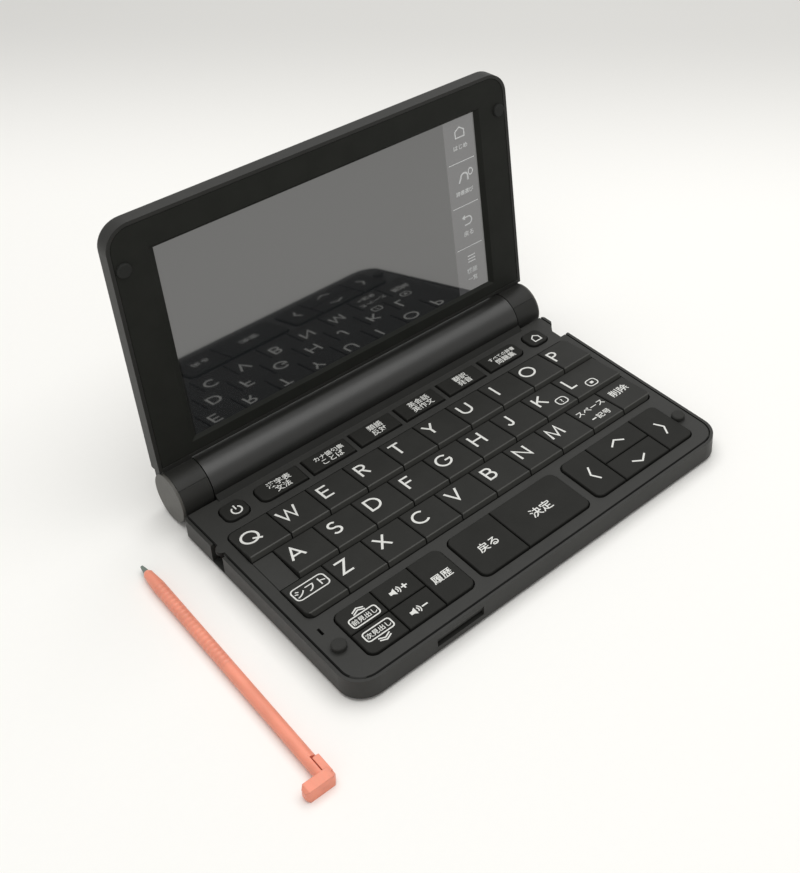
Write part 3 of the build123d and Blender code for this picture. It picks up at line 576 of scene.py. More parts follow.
def read(rows: Sequence, name: str, width: int = 3) -> np.ndarray:
    """Reads one property of all faces, points or triangles of a mesh.

    Args:
        rows: The faces, points or triangles.
        name: Name of the property.
        width: Numbers in each.

    Returns:
        A row for each.
    """
    flat = np.empty(len(rows) * width, dtype=np.int32 if name == "vertices" else np.float64)
    rows.foreach_get(name, flat)
    return flat.reshape(-1, width)


def dress(node: str, finish: object, extra: Sequence[tuple] = ()) -> None:
    """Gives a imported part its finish, and some of its faces another.

    Args:
        node: Name of the part.
        finish: Finish of the whole part.
        extra: Pairs of finish and a test. The test takes a row for each face, its centre in
            millimetres and then its normal, and returns which faces get that finish.
    """
    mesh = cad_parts[node].data
    mesh.materials.clear()
    mesh.materials.append(coat(finish))
    rows = np.hstack([read(mesh.polygons, "center") / MM, read(mesh.polygons, "normal")])
    index = np.zeros(len(rows), dtype=np.int32)
    for other, test in extra:
        mesh.materials.append(coat(other))
        index[test(rows)] = len(mesh.materials) - 1
    mesh.polygons.foreach_set("material_index", index)
    LOG.info("dressed %s", node)


# ---- meshes ----
def linked(name: str, data: bpy.types.ID) -> bpy.types.Object:
    """Object of a mesh, text, light or camera, in the scene."""
    made = bpy.data.objects.new(name, data)
    bpy.context.scene.collection.objects.link(made)
    return made


def piece(
    name: str, verts: np.ndarray, faces: Sequence, finish: Finish, body: str
) -> bpy.types.Object:
    """Makes one finished piece whose place is in its mesh.

    Args:
        name: Name of the piece.
        verts: Points in metres.
        faces: Faces as tuples of point numbers.
        finish: Its finish.
        body: Body it moves with.

    Returns:
        The object.
    """
    mesh = bpy.data.meshes.new(name)
    mesh.from_pydata(np.asarray(verts).tolist(), [], [tuple(int(i) for i in face) for face in faces])
    mesh.materials.append(coat(finish))
    mesh.validate()
    made = linked(name, mesh)
    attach(made, body)
    LOG.info("piece %s on %s", name, body)
    return made


def slab(
    plan: np.ndarray, triangles: np.ndarray, above: np.ndarray, below: np.ndarray
) -> tuple[np.ndarray, list]:
    """Closed thin sheet between two copies of a plan.

    Every edge that only one triangle uses is an outer edge, and gets a side face.

    Args:
        plan: Points of the plan, for the turning sense.
        triangles: Triangles of the plan.
        above: Upper points.
        below: Lower points.

    Returns:
        Points and faces.
    """
    a, b, c = (plan[triangles[:, i]] for i in range(3))
    area = (b[:, 0] - a[:, 0]) * (c[:, 1] - a[:, 1]) - (b[:, 1] - a[:, 1]) * (c[:, 0] - a[:, 0])
    triangles = np.where((area < 0)[:, None], triangles[:, ::-1], triangles)[np.abs(area) > 1e-9]
    edges = np.concatenate([triangles[:, [0, 1]], triangles[:, [1, 2]], triangles[:, [2, 0]]])
    count = len(plan)
    key = edges[:, 0] * count + edges[:, 1]
    back = edges[:, 1] * count + edges[:, 0]
    outer = edges[~np.isin(key, back)]
    start, end = outer[:, 0], outer[:, 1]
    sides = np.stack([start, start + count, end + count, end], axis=1)
    faces = triangles.tolist() + (triangles[:, ::-1] + count).tolist() + sides.tolist()
    return np.concatenate([above, below]), faces


# ---- drawing ----
@dataclass(frozen=True)
class Arc:
    """Part of an ellipse: centre plus radii times (cos t, sin t), t in degrees."""

    x: float
    y: float
    rx: float
    ry: float
    start: float
    end: float

    def points(self) -> np.ndarray:
        """Points along the arc."""
        steps = max(4, int(abs(self.end - self.start) / ARC_STEP))
        t = np.radians(np.linspace(self.start, self.end, steps + 1))
        return np.stack([self.x + self.rx * np.cos(t), self.y + self.ry * np.sin(t)], axis=1)


Corner = Union[tuple[float, float], Arc]
Track = Sequence[Corner]


def follow(track: Track) -> np.ndarray:
    """Points of a track of corners and arcs.

    Args:
        track: Corners and arcs in order.

    Returns:
        Points, without repeats.
    """
    parts = [item.points() if isinstance(item, Arc) else np.array([item], float) for item in track]
    points = np.concatenate(parts)
    keep = np.ones(len(points), bool)
    keep[1:] = np.linalg.norm(np.diff(points, axis=0), axis=1) > NEAR
    return points[keep]


def offset(points: np.ndarray, reach: float, closed: bool) -> np.ndarray:
    """Line beside a line: each point moves along its mitre, by reach over the half turn's cosine.

    Args:
        points: The line.
        reach: Distance to the left.
        closed: Whether the line is a loop.

    Returns:
        The moved points.
    """
    run = np.diff(points, axis=0, append=points[:1] if closed else points[-1:])
    if not closed:
        run[-1] = run[-2]
    run /= np.linalg.norm(run, axis=1)[:, None]
    before = np.roll(run, 1, axis=0)
    if not closed:
        before[0] = run[0]
    left = np.stack([-run[:, 1], run[:, 0]], axis=1)
    left_before = np.stack([-before[:, 1], before[:, 0]], axis=1)
    mitre = left + left_before
    mitre /= np.maximum(np.linalg.norm(mitre, axis=1), 1e-9)[:, None]
    cosine = np.maximum((mitre * left).sum(axis=1), SHARPEST)
    return points + mitre * (reach / cosine)[:, None]


def anticlockwise(points: np.ndarray) -> np.ndarray:
    """The same loop, reversed where it ran clockwise."""
    x, y = points.T
    return points if (x * np.roll(y, -1) - y * np.roll(x, -1)).sum() > 0 else points[::-1]


class Pen:
    """Collects strokes on a flat plan, in millimetres."""

    def __init__(self, width: float) -> None:
        """Starts with an empty plan.

        Args:
            width: Width of the strokes.
        """
        self.width = width
        self.solid: list[np.ndarray] = []
        self.rings: list[Shape] = []

    def stroke(self, track: Track, width: float | None = None) -> None:
        """Open stroke along a track.

        Args:
            track: Corners and arcs.
            width: Width, if not the pen's own.
        """
        points = follow(track)
        half = (width or self.width) / 2
        left, right = offset(points, half, False), offset(points, -half, False)
        self.solid.extend(np.stack([right[:-1], right[1:], left[1:], left[:-1]], axis=1))

    def loop(self, track: Track, width: float | None = None) -> None:
        """Closed stroke along a track.

        Args:
            track: Corners and arcs, anticlockwise.
            width: Width, if not the pen's own.
        """
        points = follow(track)
        if np.linalg.norm(points[0] - points[-1]) < NEAR:
            points = points[:-1]
        points = anticlockwise(points)
        half = (width or self.width) / 2
        self.rings.append((offset(points, -half, True), offset(points, half, True)))

    def fill(self, track: Track) -> None:
        """Filled shape inside a track."""
        self.solid.append(anticlockwise(follow(track)))

    def shape(self) -> Shape:
        """Joins all strokes into one set of triangles.

        Returns:
            Points and triangles.
        """
        polygons = list(self.solid)
        solid_count = len(polygons)
        for outer, inner in self.rings:
            polygons += [outer, inner]
        starts = np.cumsum([0] + [len(p) for p in polygons])
        verts = [Vector(v) for v in np.concatenate(polygons).tolist()]
        loops = [list(range(starts[i], starts[i + 1])) for i in range(len(polygons))]
        made = delaunay_2d_cdt(verts, [], loops, 0, 1e-5, True)

        def inked(origins: Sequence[int]) -> bool:
            """Whether ink covers a triangle that lies in these shapes."""
            if min(origins) < solid_count:
                return True
            rings = [divmod(i - solid_count, 2) for i in origins]
            return any((ring, 1) not in rings for ring, hole in rings if not hole)

        triangles = [face for face, origins in zip(made[2], made[5]) if origins and inked(origins)]
        plan = np.array([tuple(v) for v in made[0]])
        return plan, np.array(triangles, dtype=int)


STEM = [(0, 0), (0, 1)]
ROUND = Arc(0.5, 0.5, 0.5, 0.5, 0, 360)
GLYPHS: dict[str, tuple[float, list[Track]]] = {
    "A": (0.86, [[(0, 0), (0.5, 1), (1, 0)], [(0.17, 0.3), (0.83, 0.3)]]),
    "B": (0.62, [STEM, [(0, 1), Arc(0.52, 0.77, 0.4, 0.23, 90, -90), (0, 0.54)],
                 [(0, 0.54), Arc(0.55, 0.27, 0.45, 0.27, 90, -90), (0, 0)]]),
    "C": (0.86, [[Arc(0.56, 0.5, 0.56, 0.5, 48, 312)]]),
    "D": (0.8, [STEM, [(0, 1), Arc(0.38, 0.5, 0.62, 0.5, 90, -90), (0, 0)]]),
    "E": (0.58, [STEM, [(0, 1), (1, 1)], [(0, 0.53), (0.9, 0.53)], [(0, 0), (1, 0)]]),
    "F": (0.54, [STEM, [(0, 1), (1, 1)], [(0, 0.52), (0.9, 0.52)]]),
    "G": (0.95, [[Arc(0.5, 0.5, 0.5, 0.5, 46, 348)], [(1.03, 0.47), (0.58, 0.47)]]),
    "H": (0.78, [STEM, [(1, 0), (1, 1)], [(0, 0.53), (1, 0.53)]]),
    "I": (0.16, [[(0.5, 0), (0.5, 1)]]),
    "J": (0.46, [[(1, 1), Arc(0.5, 0.24, 0.5, 0.24, 0, -170)]]),
    "K": (0.7, [STEM, [(0.95, 1), (0, 0.42)], [(0.32, 0.62), (1, 0)]]),
    "L": (0.48, [[(0, 1), (0, 0), (1, 0)]]),
    "M": (0.96, [[(0, 0), (0.12, 1), (0.5, 0.06), (0.88, 1), (1, 0)]]),
    "N": (0.78, [[(0, 0), (0, 1), (1, 0), (1, 1)]]),
    "P": (0.56, [STEM, [(0, 1), Arc(0.48, 0.75, 0.52, 0.25, 90, -90), (0, 0.5)]]),
    "Q": (1.0, [[(0.58, 0.32), (1.06, 0.0)]]),
    "O": (1.0, []),
    "R": (0.62, [STEM, [(0, 1), Arc(0.48, 0.76, 0.48, 0.24, 90, -90), (0, 0.52)],
                 [(0.46, 0.5), (1, 0)]]),
    "S": (0.64, [[Arc(0.5, 0.76, 0.44, 0.24, 35, 265), Arc(0.5, 0.26, 0.48, 0.26, 85, -150)]]),
    "T": (0.64, [[(0, 1), (1, 1)], [(0.5, 0), (0.5, 1)]]),
    "U": (0.76, [[(0, 1), Arc(0.5, 0.36, 0.5, 0.36, 180, 360), (1, 1)]]),
    "V": (0.82, [[(0, 1), (0.5, 0), (1, 1)]]),
    "W": (1.16, [[(0, 1), (0.26, 0), (0.5, 0.88), (0.74, 0), (1, 1)]]),
    "X": (0.74, [[(0, 1), (1, 0)], [(0, 0), (1, 1)]]),
    "Y": (0.72, [[(0, 1), (0.5, 0.46), (1, 1)], [(0.5, 0.46), (0.5, 0)]]),
    "Z": (0.7, [[(0, 1), (1, 1), (0, 0), (1, 0)]]),
}


def letter(glyph: str, left: float, foot: float, height: float, weight: float) -> Pen:
    """Draws one capital letter.

    Args:
        glyph: The letter.
        left: Left edge of its box.
        foot: Lower edge of its box.
        height: Height of its box.
        weight: Stroke width.

    Returns:
        The pen that holds it.
    """
    share, tracks = GLYPHS[glyph]
    half = weight / 2
    wide = max(share * height - weight, 0.0)
    tall = height - weight

    def fit(item: Corner) -> Corner:
        """Puts a corner or arc of the unit box into its place."""
        if isinstance(item, Arc):
            x, y = left + half + item.x * wide, foot + half + item.y * tall
            return Arc(x, y, item.rx * wide, item.ry * tall, item.start, item.end)
        return (left + half + item[0] * wide, foot + half + item[1] * tall)

    pen = Pen(weight)
    if glyph in "OQ":
        pen.loop([fit(ROUND)])
    for track in tracks:
        ends = [fit(item) for item in track]
        if glyph in "EFHILPTBDR" and not any(isinstance(item, Arc) for item in track):
            ends = lengthen(ends, half, glyph)
        pen.stroke(ends)
    return pen


def lengthen(ends: list, reach: float, glyph: str) -> list:
    """Runs a straight stroke on to the edge of the letter's box, so that its corners are full.

    Args:
        ends: Two or more corners.
        reach: Half the stroke width.
        glyph: The letter.

    Returns:
        The corners, with the outer ones moved.
    """
    points = np.array(ends, float)
    first = points[0] - points[1]
    last = points[-1] - points[-2]
    upright = abs(first[0]) < 1e-9
    if upright or glyph in "EFLT":
        points[-1] += last / max(np.linalg.norm(last), 1e-9) * reach
    if upright or glyph == "T":
        points[0] += first / max(np.linalg.norm(first), 1e-9) * reach
    return [tuple(p) for p in points.tolist()]


def box_track(x0: float, x1: float, y0: float, y1: float, radius: float) -> Track:
    """Outline of a rounded rectangle, anticlockwise.

    Args:
        x0: Left edge.
        x1: Right edge.
        y0: Lower edge.
        y1: Upper edge.
        radius: Corner radius.

    Returns:
        The track.
    """
    return [
        Arc(x1 - radius, y0 + radius, radius, radius, -90, 0),
        Arc(x1 - radius, y1 - radius, radius, radius, 0, 90),
        Arc(x0 + radius, y1 - radius, radius, radius, 90, 180),
        Arc(x0 + radius, y0 + radius, radius, radius, 180, 270),
    ]


def word(text: str, x: float, foot: float, size: float, centred: bool = False) -> Shape:
    """Word set in the built-in face.

    Args:
        text: The word.
        x: Left edge, or the middle of a centred word.
        foot: Lower edge of the line.
        size: Height of the line.
        centred: Whether x is the middle.

    Returns:
        Points and triangles in the plan.
    """
    data = bpy.data.curves.new("word", "FONT")
    data.body = text
    data.resolution_u = WORD_STEPS
    data.offset = WORD_SWELL
    thing = linked("word", data)
    bpy.context.view_layer.update()
    mesh = bpy.data.meshes.new_from_object(thing)
    mesh.calc_loop_triangles()
    plan = read(mesh.vertices, "co")[:, :2]
    triangles = read(mesh.loop_triangles, "vertices").astype(int)
    bpy.data.objects.remove(thing)
    bpy.data.curves.remove(data)
    bpy.data.meshes.remove(mesh)
    left, right = plan[:, 0].min(), plan[:, 0].max()
    start = (left + right) / 2 if centred else left
    return (plan - (start, WORD_FOOT)) * size + (x, foot), triangles


def together(shapes: Sequence[Shape]) -> Shape:
    """Puts several flat shapes into one.

    Args:
        shapes: Points and triangles of each.

    Returns:
        Points and triangles of all.
    """
    starts = np.cumsum([0] + [len(plan) for plan, _ in shapes])
    plans = np.concatenate([plan for plan, _ in shapes])
    triangles = np.concatenate([tri + starts[i] for i, (_, tri) in enumerate(shapes)])
    return plans, triangles


# ---- keyboard ----
class KeyTop:
    """Top face of one key, in millimetres: its plan box and its plane."""

    upward = 0.9

    def __init__(self, key: str) -> None:
        """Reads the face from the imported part.

        Args:
            key: Name of the key without its prefix.
        """
        self.name = "key_" + key
        low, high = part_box(self.name)
        self.left, self.front = low[0] / MM, low[1] / MM
        self.right, self.rear = high[0] / MM, high[1] / MM
        self.middle = np.array([(self.left + self.right) / 2, (self.front + self.rear) / 2])
        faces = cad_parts[self.name].data.polygons
        normals, areas = read(faces, "normal"), read(faces, "area", 1)[:, 0]
        best = int(np.argmax(np.where(normals[:, 2] > self.upward, areas, 0)))
        self.normal, self.point = normals[best], read(faces, "center")[best] / MM

    def lift(self, plan: np.ndarray, height: float) -> np.ndarray:
        """Points of a plan on the face: z = z0 - (n . (p - p0)) / nz, raised along the normal.

        Args:
            plan: Points in the plan.
            height: Height over the face.

        Returns:
            Points in metres.
        """
        fall = (plan - self.point[:2]) @ self.normal[:2] / self.normal[2]
        z = self.point[2] - fall
        return np.column_stack([plan, z + height]) * MM


# inset from the left edge and drop from the usual line, in millimetres
LETTER_PLACES = {
    "q": (1.5, 0.7), "w": (0.6, 0.2), "e": (1.7, 0.2), "r": (1.7, 0.3), "t": (1.6, 0.1),
    "y": (1.1, 0.0), "u": (1.7, 0.0), "i": (2.6, 0.0), "o": (1.0, 0.1), "p": (1.0, 0.2),
    "a": (1.3, 0.4), "s": (2.2, 0.2), "d": (2.2, 0.0), "f": (2.3, 0.0), "g": (1.4, 0.0),
    "h": (2.0, -0.1), "j": (2.1, -0.1), "k": (1.8, 0.0), "l": (1.9, 0.1), "z": (1.9, 0.1),
    "x": (1.7, 0.0), "c": (1.6, -0.1), "v": (1.3, -0.3), "b": (2.0, -0.1), "n": (1.6, -0.1),
    "m": (1.1, 0.0),
}  # fmt: skip
BOOK_WORDS = (
    ("漢字表", "文法"), ("カナ語句集", "ことば"), ("類語", "反対"),
    ("英会話", "英作文"), ("翻訳", "発音"), ("すべての辞書", "問題集"),
)  # fmt: skip


@dataclass
class Keyboard:
    """Printed keys of the base: letters, words and signs."""

    cap_height: float = 6.0
    weight: float = 0.73
    cap_down: float = 2.3
    ink_up: float = 0.02
    ink_down: float = 0.03
    fine: float = 0.42
    front_from: float = 7.2
    book_middles: tuple[float, ...] = (8.3, 8.6, 8.7, 8.5, 8.4, 8.7)

    def print_on(self, top: KeyTop, shape: Shape, label: str) -> None:
        """Prints a flat shape on a key.

        Args:
            top: Face of the key.
            shape: Points and triangles in the plan.
            label: Name of the print.
        """
        plan, triangles = shape
        above, below = top.lift(plan, self.ink_up), top.lift(plan, -self.ink_down)
        verts, faces = slab(plan, triangles, above, below)
        piece(label, verts, faces, Finish.INK, top.name + "_cap")

    def build_letters(self) -> None:
        """Prints the capital on every letter key, near its left rear corner."""
        for key, (inset, drop) in LETTER_PLACES.items():
            top = KeyTop(key)
            foot = top.rear - self.cap_down - drop - self.cap_height
            pen = letter(key.upper(), top.left + inset, foot, self.cap_height, self.weight)
            shapes = []
            if key in "kl":
                x0, y0 = top.left + 7.3, foot - 3.9
                pen.loop(box_track(x0, x0 + 4.0, y0, y0 + 3.6, 1.3), self.fine)
            if key == "k":
                shapes.append(word("?", x0 + 2.0, y0 + 0.5, 2.8, True))
            if key == "l":
                pen.fill(box_track(x0 + 1.35, x0 + 2.65, y0 + 1.2, y0 + 2.4, 0.2))
            self.print_on(top, together([pen.shape(), *shapes]), "letter_" + key)

    def build_words(self) -> None:
        """Prints the words of the function keys and, in two lines, of the book keys."""
        plain = {
            "space": [("スペース", 0.8, 6.2, 3.1), ("記号", 5.2, 11.3, 2.9)],
            "delete": [("削除", 2.4, 6.7, 3.9)],
            "history": [("履歴", 1.8, 11.4, 3.5)],
            "back": [("戻る", 5.0, 11.4, 3.8)],
            "enter": [("決定", 8.5, 11.6, 4.1)],
        }
        for key, lines in plain.items():
            top = KeyTop(key)
            shapes = [word(text, top.left + x, top.rear - foot, size) for text, x, foot, size in lines]
            if key == "space":
                pen = Pen(self.fine)
                pen.stroke([(top.left + 3.0, top.rear - 9.9), (top.left + 4.7, top.rear - 9.9)], 0.55)
                shapes.append(pen.shape())
            self.print_on(top, together(shapes), "word_" + key)
        for number, lines in enumerate(BOOK_WORDS, 1):
            top = KeyTop(f"book_{number}")
            middle = top.left + self.book_middles[number - 1]
            shapes = []
            for text, foot in zip(lines, (3.85, 6.7)):
                size = 2.8 if len(text) < 4 else 13.5 / (len(text) + 1)
                shapes.append(word(text, middle, top.rear - foot, size, True))
            self.print_on(top, together(shapes), f"word_book_{number}")
        boxed = {
            "shift": ("シフト", (1.0, 12.0, 7.8, 2.5), 3.6),
            "previous": ("前見出し", (2.0, 11.1, 8.3, 4.7), 2.1),
            "next": ("次見出し", (2.0, 11.1, 5.1, 1.5), 2.1),
        }
        for key, (text, box, size) in boxed.items():
            top = KeyTop(key)
            x0, x1, y0, y1 = top.left + box[0], top.left + box[1], top.rear - box[2], top.rear - box[3]
            pen = Pen(self.fine)
            pen.loop(box_track(x0, x1, y0, y1, 0.26 * (y1 - y0)))
            middle, foot = (x0 + x1) / 2, (y0 + y1) / 2 - 0.46 * size
            shapes = [pen.shape(), word(text, middle, foot, size, True)]
            if key != "shift":
                shapes.append(self.double_chevron(top, key == "previous"))
            self.print_on(top, together(shapes), "word_" + key)

    def double_chevron(self, top: KeyTop, up: bool) -> Shape:
        """Two small chevrons over each other.

        Args:
            top: Face of the key.
            up: Whether they point to the rear.

        Returns:
            Points and triangles.
        """
        pen = Pen(self.fine)
        x = top.left + 6.5
        turn = 1.0 if up else -1.0
        start = top.rear - 3.8 if up else top.rear - 6.2
        for step in range(2):
            y = start + turn * step * 0.85
            pen.stroke([(x - 1.9, y - turn * 0.35), (x, y + turn * 0.55), (x + 1.9, y - turn * 0.35)])
        return pen.shape()

    def build_arrows(self) -> None:
        """Prints a chevron on each arrow key."""
        arrows = {"left": (-1, 0, -0.5), "right": (1, 0, -0.7)}
        arrows |= {"up": (0, 1, 0.2), "down": (0, -1, -1.3)}
        for key, (dx, dy, shift) in arrows.items():
            top = KeyTop(key)
            x, y = top.middle + (-0.1, shift)
            pen = Pen(0.6)
            rise, span = (0.85, 3.2) if dx else (1.05, 2.8)
            track = [(-span, -rise), (0.0, rise), (span, -rise)]
            pen.stroke([(x + dx * v + abs(dy) * u, y + dy * v + abs(dx) * u) for u, v in track])
            self.print_on(top, pen.shape(), "arrow_" + key)

    def build_signs(self) -> None:
        """Prints the power sign and the house."""
        top = KeyTop("power")
        x, y = top.middle + (0.45, -0.75)
        pen = Pen(0.5)
        pen.stroke([Arc(x, y, 1.6, 1.6, 126, 414)])
        pen.stroke([(x, y + 0.3), (x, y + 2.3)], 0.45)
        self.print_on(top, pen.shape(), "sign_power")
        top = KeyTop("home")
        x, y = top.middle + (0.15, -0.6)
        pen = Pen(0.45)
        left, right, low, eaves = x - 1.45, x + 1.45, y - 1.55, y + 0.55
        pen.loop([(right, low), (right, eaves), (x, y + 1.75), (left, eaves), (left, low)])
        self.print_on(top, pen.shape(), "sign_home")

    def build_speakers(self) -> None:
        """Prints a loudspeaker with its waves, and a plus or minus, on the volume keys."""
        for key in ("volume_up", "volume_down"):
            top = KeyTop(key)
            x, y = top.left + 4.6, top.middle[1] - 0.55
            pen = Pen(0.35)
            lower = [(x - 1.4, y - 0.6), (x - 0.5, y - 0.6), (x + 0.5, y - 1.35)]
            pen.fill([*lower, *((u, 2 * y - v) for u, v in reversed(lower))])
            for reach in (0.95, 1.65):
                pen.stroke([Arc(x + 0.4, y, reach, reach + 0.05, -48, 48)])
            pen.stroke([(x + 2.6, y), (x + 4.6, y)], 0.5)
            if key == "volume_up":
                pen.stroke([(x + 3.6, y - 1.0), (x + 3.6, y + 1.0)], 0.5)
            self.print_on(top, pen.shape(), "sign_" + key)

    def build(self) -> None:
        """Dresses every key and prints its marking."""

        def fronts(c: np.ndarray) -> np.ndarray:
            """Sloping front faces of the caps, painted lighter as a highlight."""
            return (c[:, 4] < -0.35) & (c[:, 5] > 0.1) & (c[:, 2] > self.front_from)

        lettered = {"key_" + key for key in (*LETTER_PLACES, "shift", "space", "delete")}
        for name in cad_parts:
            if name in lettered:
                dress(name, Finish.KEY, [(Finish.KEY_FRONT_PAINTED_LIGHT, fronts)])
            elif name.startswith("key_") and name != "key_mat":
                dress(name, Finish.FLAT_KEY)
        self.build_letters()
        self.build_words()
        self.build_arrows()
        self.build_speakers()
        self.build_signs()


# ---- base ----
@dataclass
class Base:
    """Case, deck, board and key mat."""

    foot_x: float = 62.0
    foot_front: float = -40.75
    foot_rear: float = 22.9
    foot_r: float = 4.0
    foot_top: float = 0.2
    cushion_x: float = 68.4
    cushion_y: float = -37.55
    cushion_r: float = 2.4
    deck_top: float = 8.05
    rear: float = 30.0
    edge_x: float = 72.0
    edge_y: float = -50.5
    level: float = 0.97
    jack_x: float = -59.0
    jack_y: float = 16.2
    jack_half: float = 3.3
    card_y: float = -43.0
    card_z: float = 3.25

    def build(self) -> None:
        """Dresses the parts of the base."""

        def feet(c: np.ndarray) -> np.ndarray:
            """Faces of the inlaid feet."""
            away = np.minimum(abs(c[:, 1] - self.foot_front), abs(c[:, 1] - self.foot_rear))
            near = np.hypot(abs(c[:, 0]) - self.foot_x, away) < self.foot_r
            return near & (c[:, 2] < self.foot_top)

        def cushions(c: np.ndarray) -> np.ndarray:
            """Faces of the two cushions."""
            near = np.hypot(abs(c[:, 0]) - self.cushion_x, c[:, 1] - self.cushion_y) < self.cushion_r
            return near & (c[:, 2] > self.deck_top)

        def rise(c: np.ndarray) -> np.ndarray:
            """Faces of the rise in front of the barrel, painted darker as shade."""
            return (c[:, 1] > self.rear) & (c[:, 2] > self.deck_top)

        def rim(c: np.ndarray) -> np.ndarray:
            """Softened outer edge of the deck, painted dark as the shade in the groove beside the rim."""
            outer = (abs(c[:, 0]) > self.edge_x) | (c[:, 1] < self.edge_y)
            return outer & (c[:, 5] < self.level)

        def jack(c: np.ndarray) -> np.ndarray:
            """Faces of the headphone socket."""
            return (c[:, 0] < self.jack_x) & (abs(c[:, 1] - self.jack_y) < self.jack_half)

        def card(c: np.ndarray) -> np.ndarray:
            """Faces of the card socket."""
            return (c[:, 2] > self.card_z) & (c[:, 1] < self.card_y)

        dress("lower_case", Finish.CASE, [(Finish.FEET, feet)])
        deck = [(Finish.CUSHION, cushions), (Finish.RISE_PAINTED_SHADE, rise), (Finish.GROOVE_PAINTED_SHADE, rim)]
        dress("keyboard_deck", Finish.DECK, deck)
        dress("main_board", Board(), [(Finish.SOCKET, jack), (Finish.PLATE, card)])
        dress("key_mat", Finish.MAT)


@dataclass
class Barrel:
    """Fixed middle of the hinge barrel with its battery door and cells."""

    pins_from: float = 55.2
    pin_r: float = 2.02
    cell_span: float = 50.5

    def build(self) -> None:
        """Dresses the barrel parts."""

        def pins(c: np.ndarray) -> np.ndarray:
            """Faces of the steel pins."""
            r = np.hypot(c[:, 1] - HINGE_Y, c[:, 2] - HINGE_Z)
            return (abs(c[:, 0]) > self.pins_from) & (r < self.pin_r)

        dress("hinge_barrel", Finish.BARREL, [(Finish.PIN, pins)])
        dress("battery_cover", Finish.DOOR)
        dress("battery_cells", CellLabel("cell_sleeve", self.cell_span))


@dataclass
class Lid:
    """Screen lid: back cover with knuckles, bezel, glass, display and its icon strip."""

    lean: float = 85.66
    disc_from: float = 72.45
    disc_r: float = 8.3
    cushion_w: float = -1.87
    glass_w: float = -2.9
    strip_left: float = 46.4
    window_right: float = 59.55
    window_low: float = 15.0
    window_high: float = 82.6
    dividers: tuple[float, ...] = (66.3, 49.4, 32.8)
    ink: float = 0.03

    def at(self, plan: np.ndarray, w: float) -> np.ndarray:
        """Points on the lid: y = ay + u cos a - w sin a, z = az + u sin a + w cos a.

        Args:
            plan: Points across and up the lid, in millimetres.
            w: Height out of the lid.

        Returns:
            Points in metres.
        """
        turn = math.radians(self.lean)
        y = HINGE_Y + plan[:, 1] * math.cos(turn) - w * math.sin(turn)
        z = HINGE_Z + plan[:, 1] * math.sin(turn) + w * math.cos(turn)
        return np.column_stack([plan[:, 0], y, z]) * MM

    def build(self) -> None:
        """Dresses the lid parts and prints the icon strip."""

        def discs(c: np.ndarray) -> np.ndarray:
            """Faces of the two end discs."""
            r = np.hypot(c[:, 1] - HINGE_Y, c[:, 2] - HINGE_Z)
            return (abs(c[:, 0]) > self.disc_from) & (r < self.disc_r)

        def cushions(c: np.ndarray) -> np.ndarray:
            """Faces of the lid cushions."""
            turn = math.radians(self.lean)
            w = -(c[:, 1] - HINGE_Y) * math.sin(turn) + (c[:, 2] - HINGE_Z) * math.cos(turn)
            return w > self.cushion_w

        middle = HINGE_Z + (self.window_low + self.window_high) / 2 * math.sin(math.radians(self.lean))
        glass = ScreenGlass("touch_glass", middle, self.window_right, self.strip_left)
        dress("lid_back_cover", Finish.SHELL, [(Finish.DISC, discs)])
        dress("lid_bezel", Finish.BEZEL, [(Finish.PAD, cushions)])
        dress("touch_panel", glass)
        dress("display_module", DisplayPanel())
        self.build_icons()

    def build_icons(self) -> None:
        """Prints the three thin lines, the four small signs and their words on the touch strip."""
        pen = Pen(0.45)
        for u in self.dividers:
            pen.stroke([(self.strip_left + 0.9, u), (self.window_right - 1.2, u)], 0.3)
        pen.loop([(51.2, 75.5), (55.0, 75.5), (55.0, 77.9), (53.1, 79.2), (51.2, 77.9)])
        pen.stroke([(51.0, 58.4), Arc(53.4, 60.2, 1.5, 1.5, 180, 0), (54.9, 58.6)], 0.6)
        pen.loop([Arc(56.2, 61.4, 0.9, 1.2, 0, 360)], 0.4)
        pen.stroke([(51.6, 41.6), Arc(53.4, 43.2, 1.4, 1.5, -90, 90), (51.4, 44.7)], 0.5)
        pen.fill([(50.6, 44.7), (52.0, 43.7), (52.0, 45.7)])
        for step in range(3):
            pen.stroke([(51.5, 26.6 + 1.2 * step), (54.8, 26.6 + 1.2 * step)])
        x = (self.strip_left + self.window_right) / 2
        labels = [("はじめ", 71.0, 2.1), ("辞書選び", 53.7, 1.9), ("戻る", 37.2, 2.3)]
        labels += [("機能", 22.0, 2.3), ("一覧", 18.7, 2.1)]
        words = [word(text, x, foot, size, True) for text, foot, size in labels]
        plan, triangles = together([pen.shape(), *words])
        above, below = (self.at(plan, self.glass_w + side * self.ink) for side in (1, -1))
        verts, faces = slab(plan, triangles, above, below)
        piece("touch_strip_signs", verts, faces, Finish.FAINT, "lid")


@dataclass
class Stylus:
    """Stylus on the table."""

    nib_from: float = 28.75
    grip_from: float = -18.0
    grip_to: float = 21.0

    def build(self) -> None:
        """Dresses the stylus."""
        dress("stylus", StylusPlastic("stylus_plastic", self.nib_from, self.grip_from, self.grip_to))


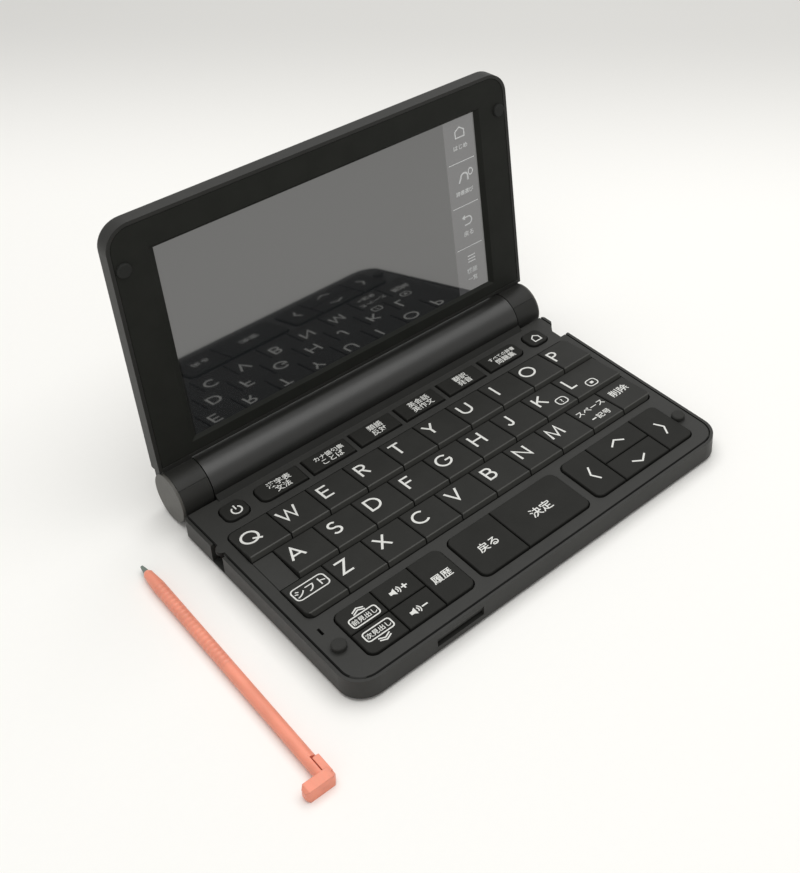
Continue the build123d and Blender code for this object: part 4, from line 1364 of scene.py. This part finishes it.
# ---- studio ----
@dataclass
class Studio:
    """Floor, soft light and the camera of the picture."""

    room: float = 0.35
    seen: float = 0.85
    tint: Colour = (1.0, 0.995, 0.985)
    floor_half: float = 2.5
    floor_steps: int = 8
    lamps: tuple[tuple, ...] = (
        ("soft_above", (0.12, 0.0, 1.05), 1.3, 11.4, (1.0, 1.0, 0.99)),
        ("soft_left", (-0.8, -0.5, 0.5), 0.7, 0.8, (1.0, 0.995, 0.98)),
    )
    aim: Colour = (0.0, 0.0, 0.04)
    sensor: float = 36.0
    lens: float = 61.506
    shift: tuple[float, float] = (-0.2390, -0.3045)
    stand: Colour = (-0.19840, -0.26397, 0.31054)
    right: Colour = (0.71471, -0.69933, 0.01140)
    down: Colour = (-0.36014, -0.38194, -0.85113)
    ahead: Colour = (0.59957, 0.60420, -0.52484)

    def place_camera(self) -> None:
        """Puts the camera where the picture was taken from."""
        data = bpy.data.cameras.new("picture_camera")
        data.sensor_fit = "HORIZONTAL"
        data.sensor_width, data.lens = self.sensor, self.lens
        data.shift_x, data.shift_y = self.shift
        data.clip_start = 0.01
        thing = linked("picture_camera", data)
        turn = Matrix((Vector(self.right), -Vector(self.down), -Vector(self.ahead))).transposed()
        thing.matrix_world = Matrix.Translation(self.stand) @ turn.to_4x4()
        bpy.context.scene.camera = thing

    def softbox(self, name: str, place: Colour, size: float, power: float, tint: Colour) -> None:
        """Square area light that looks at the object.

        Args:
            name: Name of the light.
            place: Where it stands, in metres.
            size: Side of the square.
            power: Watts.
            tint: Colour of the light.
        """
        data = bpy.data.lights.new(name, "AREA")
        data.shape = "SQUARE"
        data.size = size
        data.energy = power
        data.color = tint
        turn = (Vector(self.aim) - Vector(place)).to_track_quat("-Z", "Y")
        linked(name, data).matrix_world = Matrix.Translation(place) @ turn.to_matrix().to_4x4()

    def build(self) -> None:
        """Makes floor, light and camera."""
        scene = bpy.context.scene
        scene.view_settings.view_transform = "Standard"
        scene.world = bpy.data.worlds.new("studio")
        graph = Graph("studio", scene.world)
        path = graph.node("ShaderNodeLightPath")
        seen = Value(graph, path.outputs["Is Camera Ray"])
        for kind in ("Is Glossy Ray", "Is Transmission Ray"):
            seen = seen.math("MAXIMUM", Value(graph, path.outputs[kind]))
        colour = graph.blend(seen, shade(self.tint, self.room), shade(self.tint, self.seen))
        background = graph.value("ShaderNodeBackground", None, {"Color": colour})
        graph.node("ShaderNodeOutputWorld", None, {"Surface": background})
        for lamp in self.lamps:
            self.softbox(*lamp)
        side = self.floor_steps + 1
        t = np.linspace(-self.floor_half, self.floor_half, side)
        x, y = np.meshgrid(t, t)
        verts = np.column_stack([x.ravel(), y.ravel(), np.zeros(x.size)])
        i = np.arange(side - 1)[:, None] * side + np.arange(side - 1)
        faces = np.stack([i, i + 1, i + side + 1, i + side], axis=-1).reshape(-1, 4)
        mesh = bpy.data.meshes.new("floor")
        mesh.from_pydata(verts.tolist(), [], faces.tolist())
        mesh.materials.append(coat(Paper()))
        linked("floor", mesh)
        self.place_camera()
        LOG.info("studio ready")


def main() -> None:
    """Builds everything in order."""
    logging.basicConfig(level=logging.INFO, format="%(name)s: %(message)s")
    for maker in (Studio(), Base(), Keyboard(), Barrel(), Lid(), Stylus()):
        maker.build()
        LOG.info("%s done", type(maker).__name__)


if __name__ == "__main__":
    main()
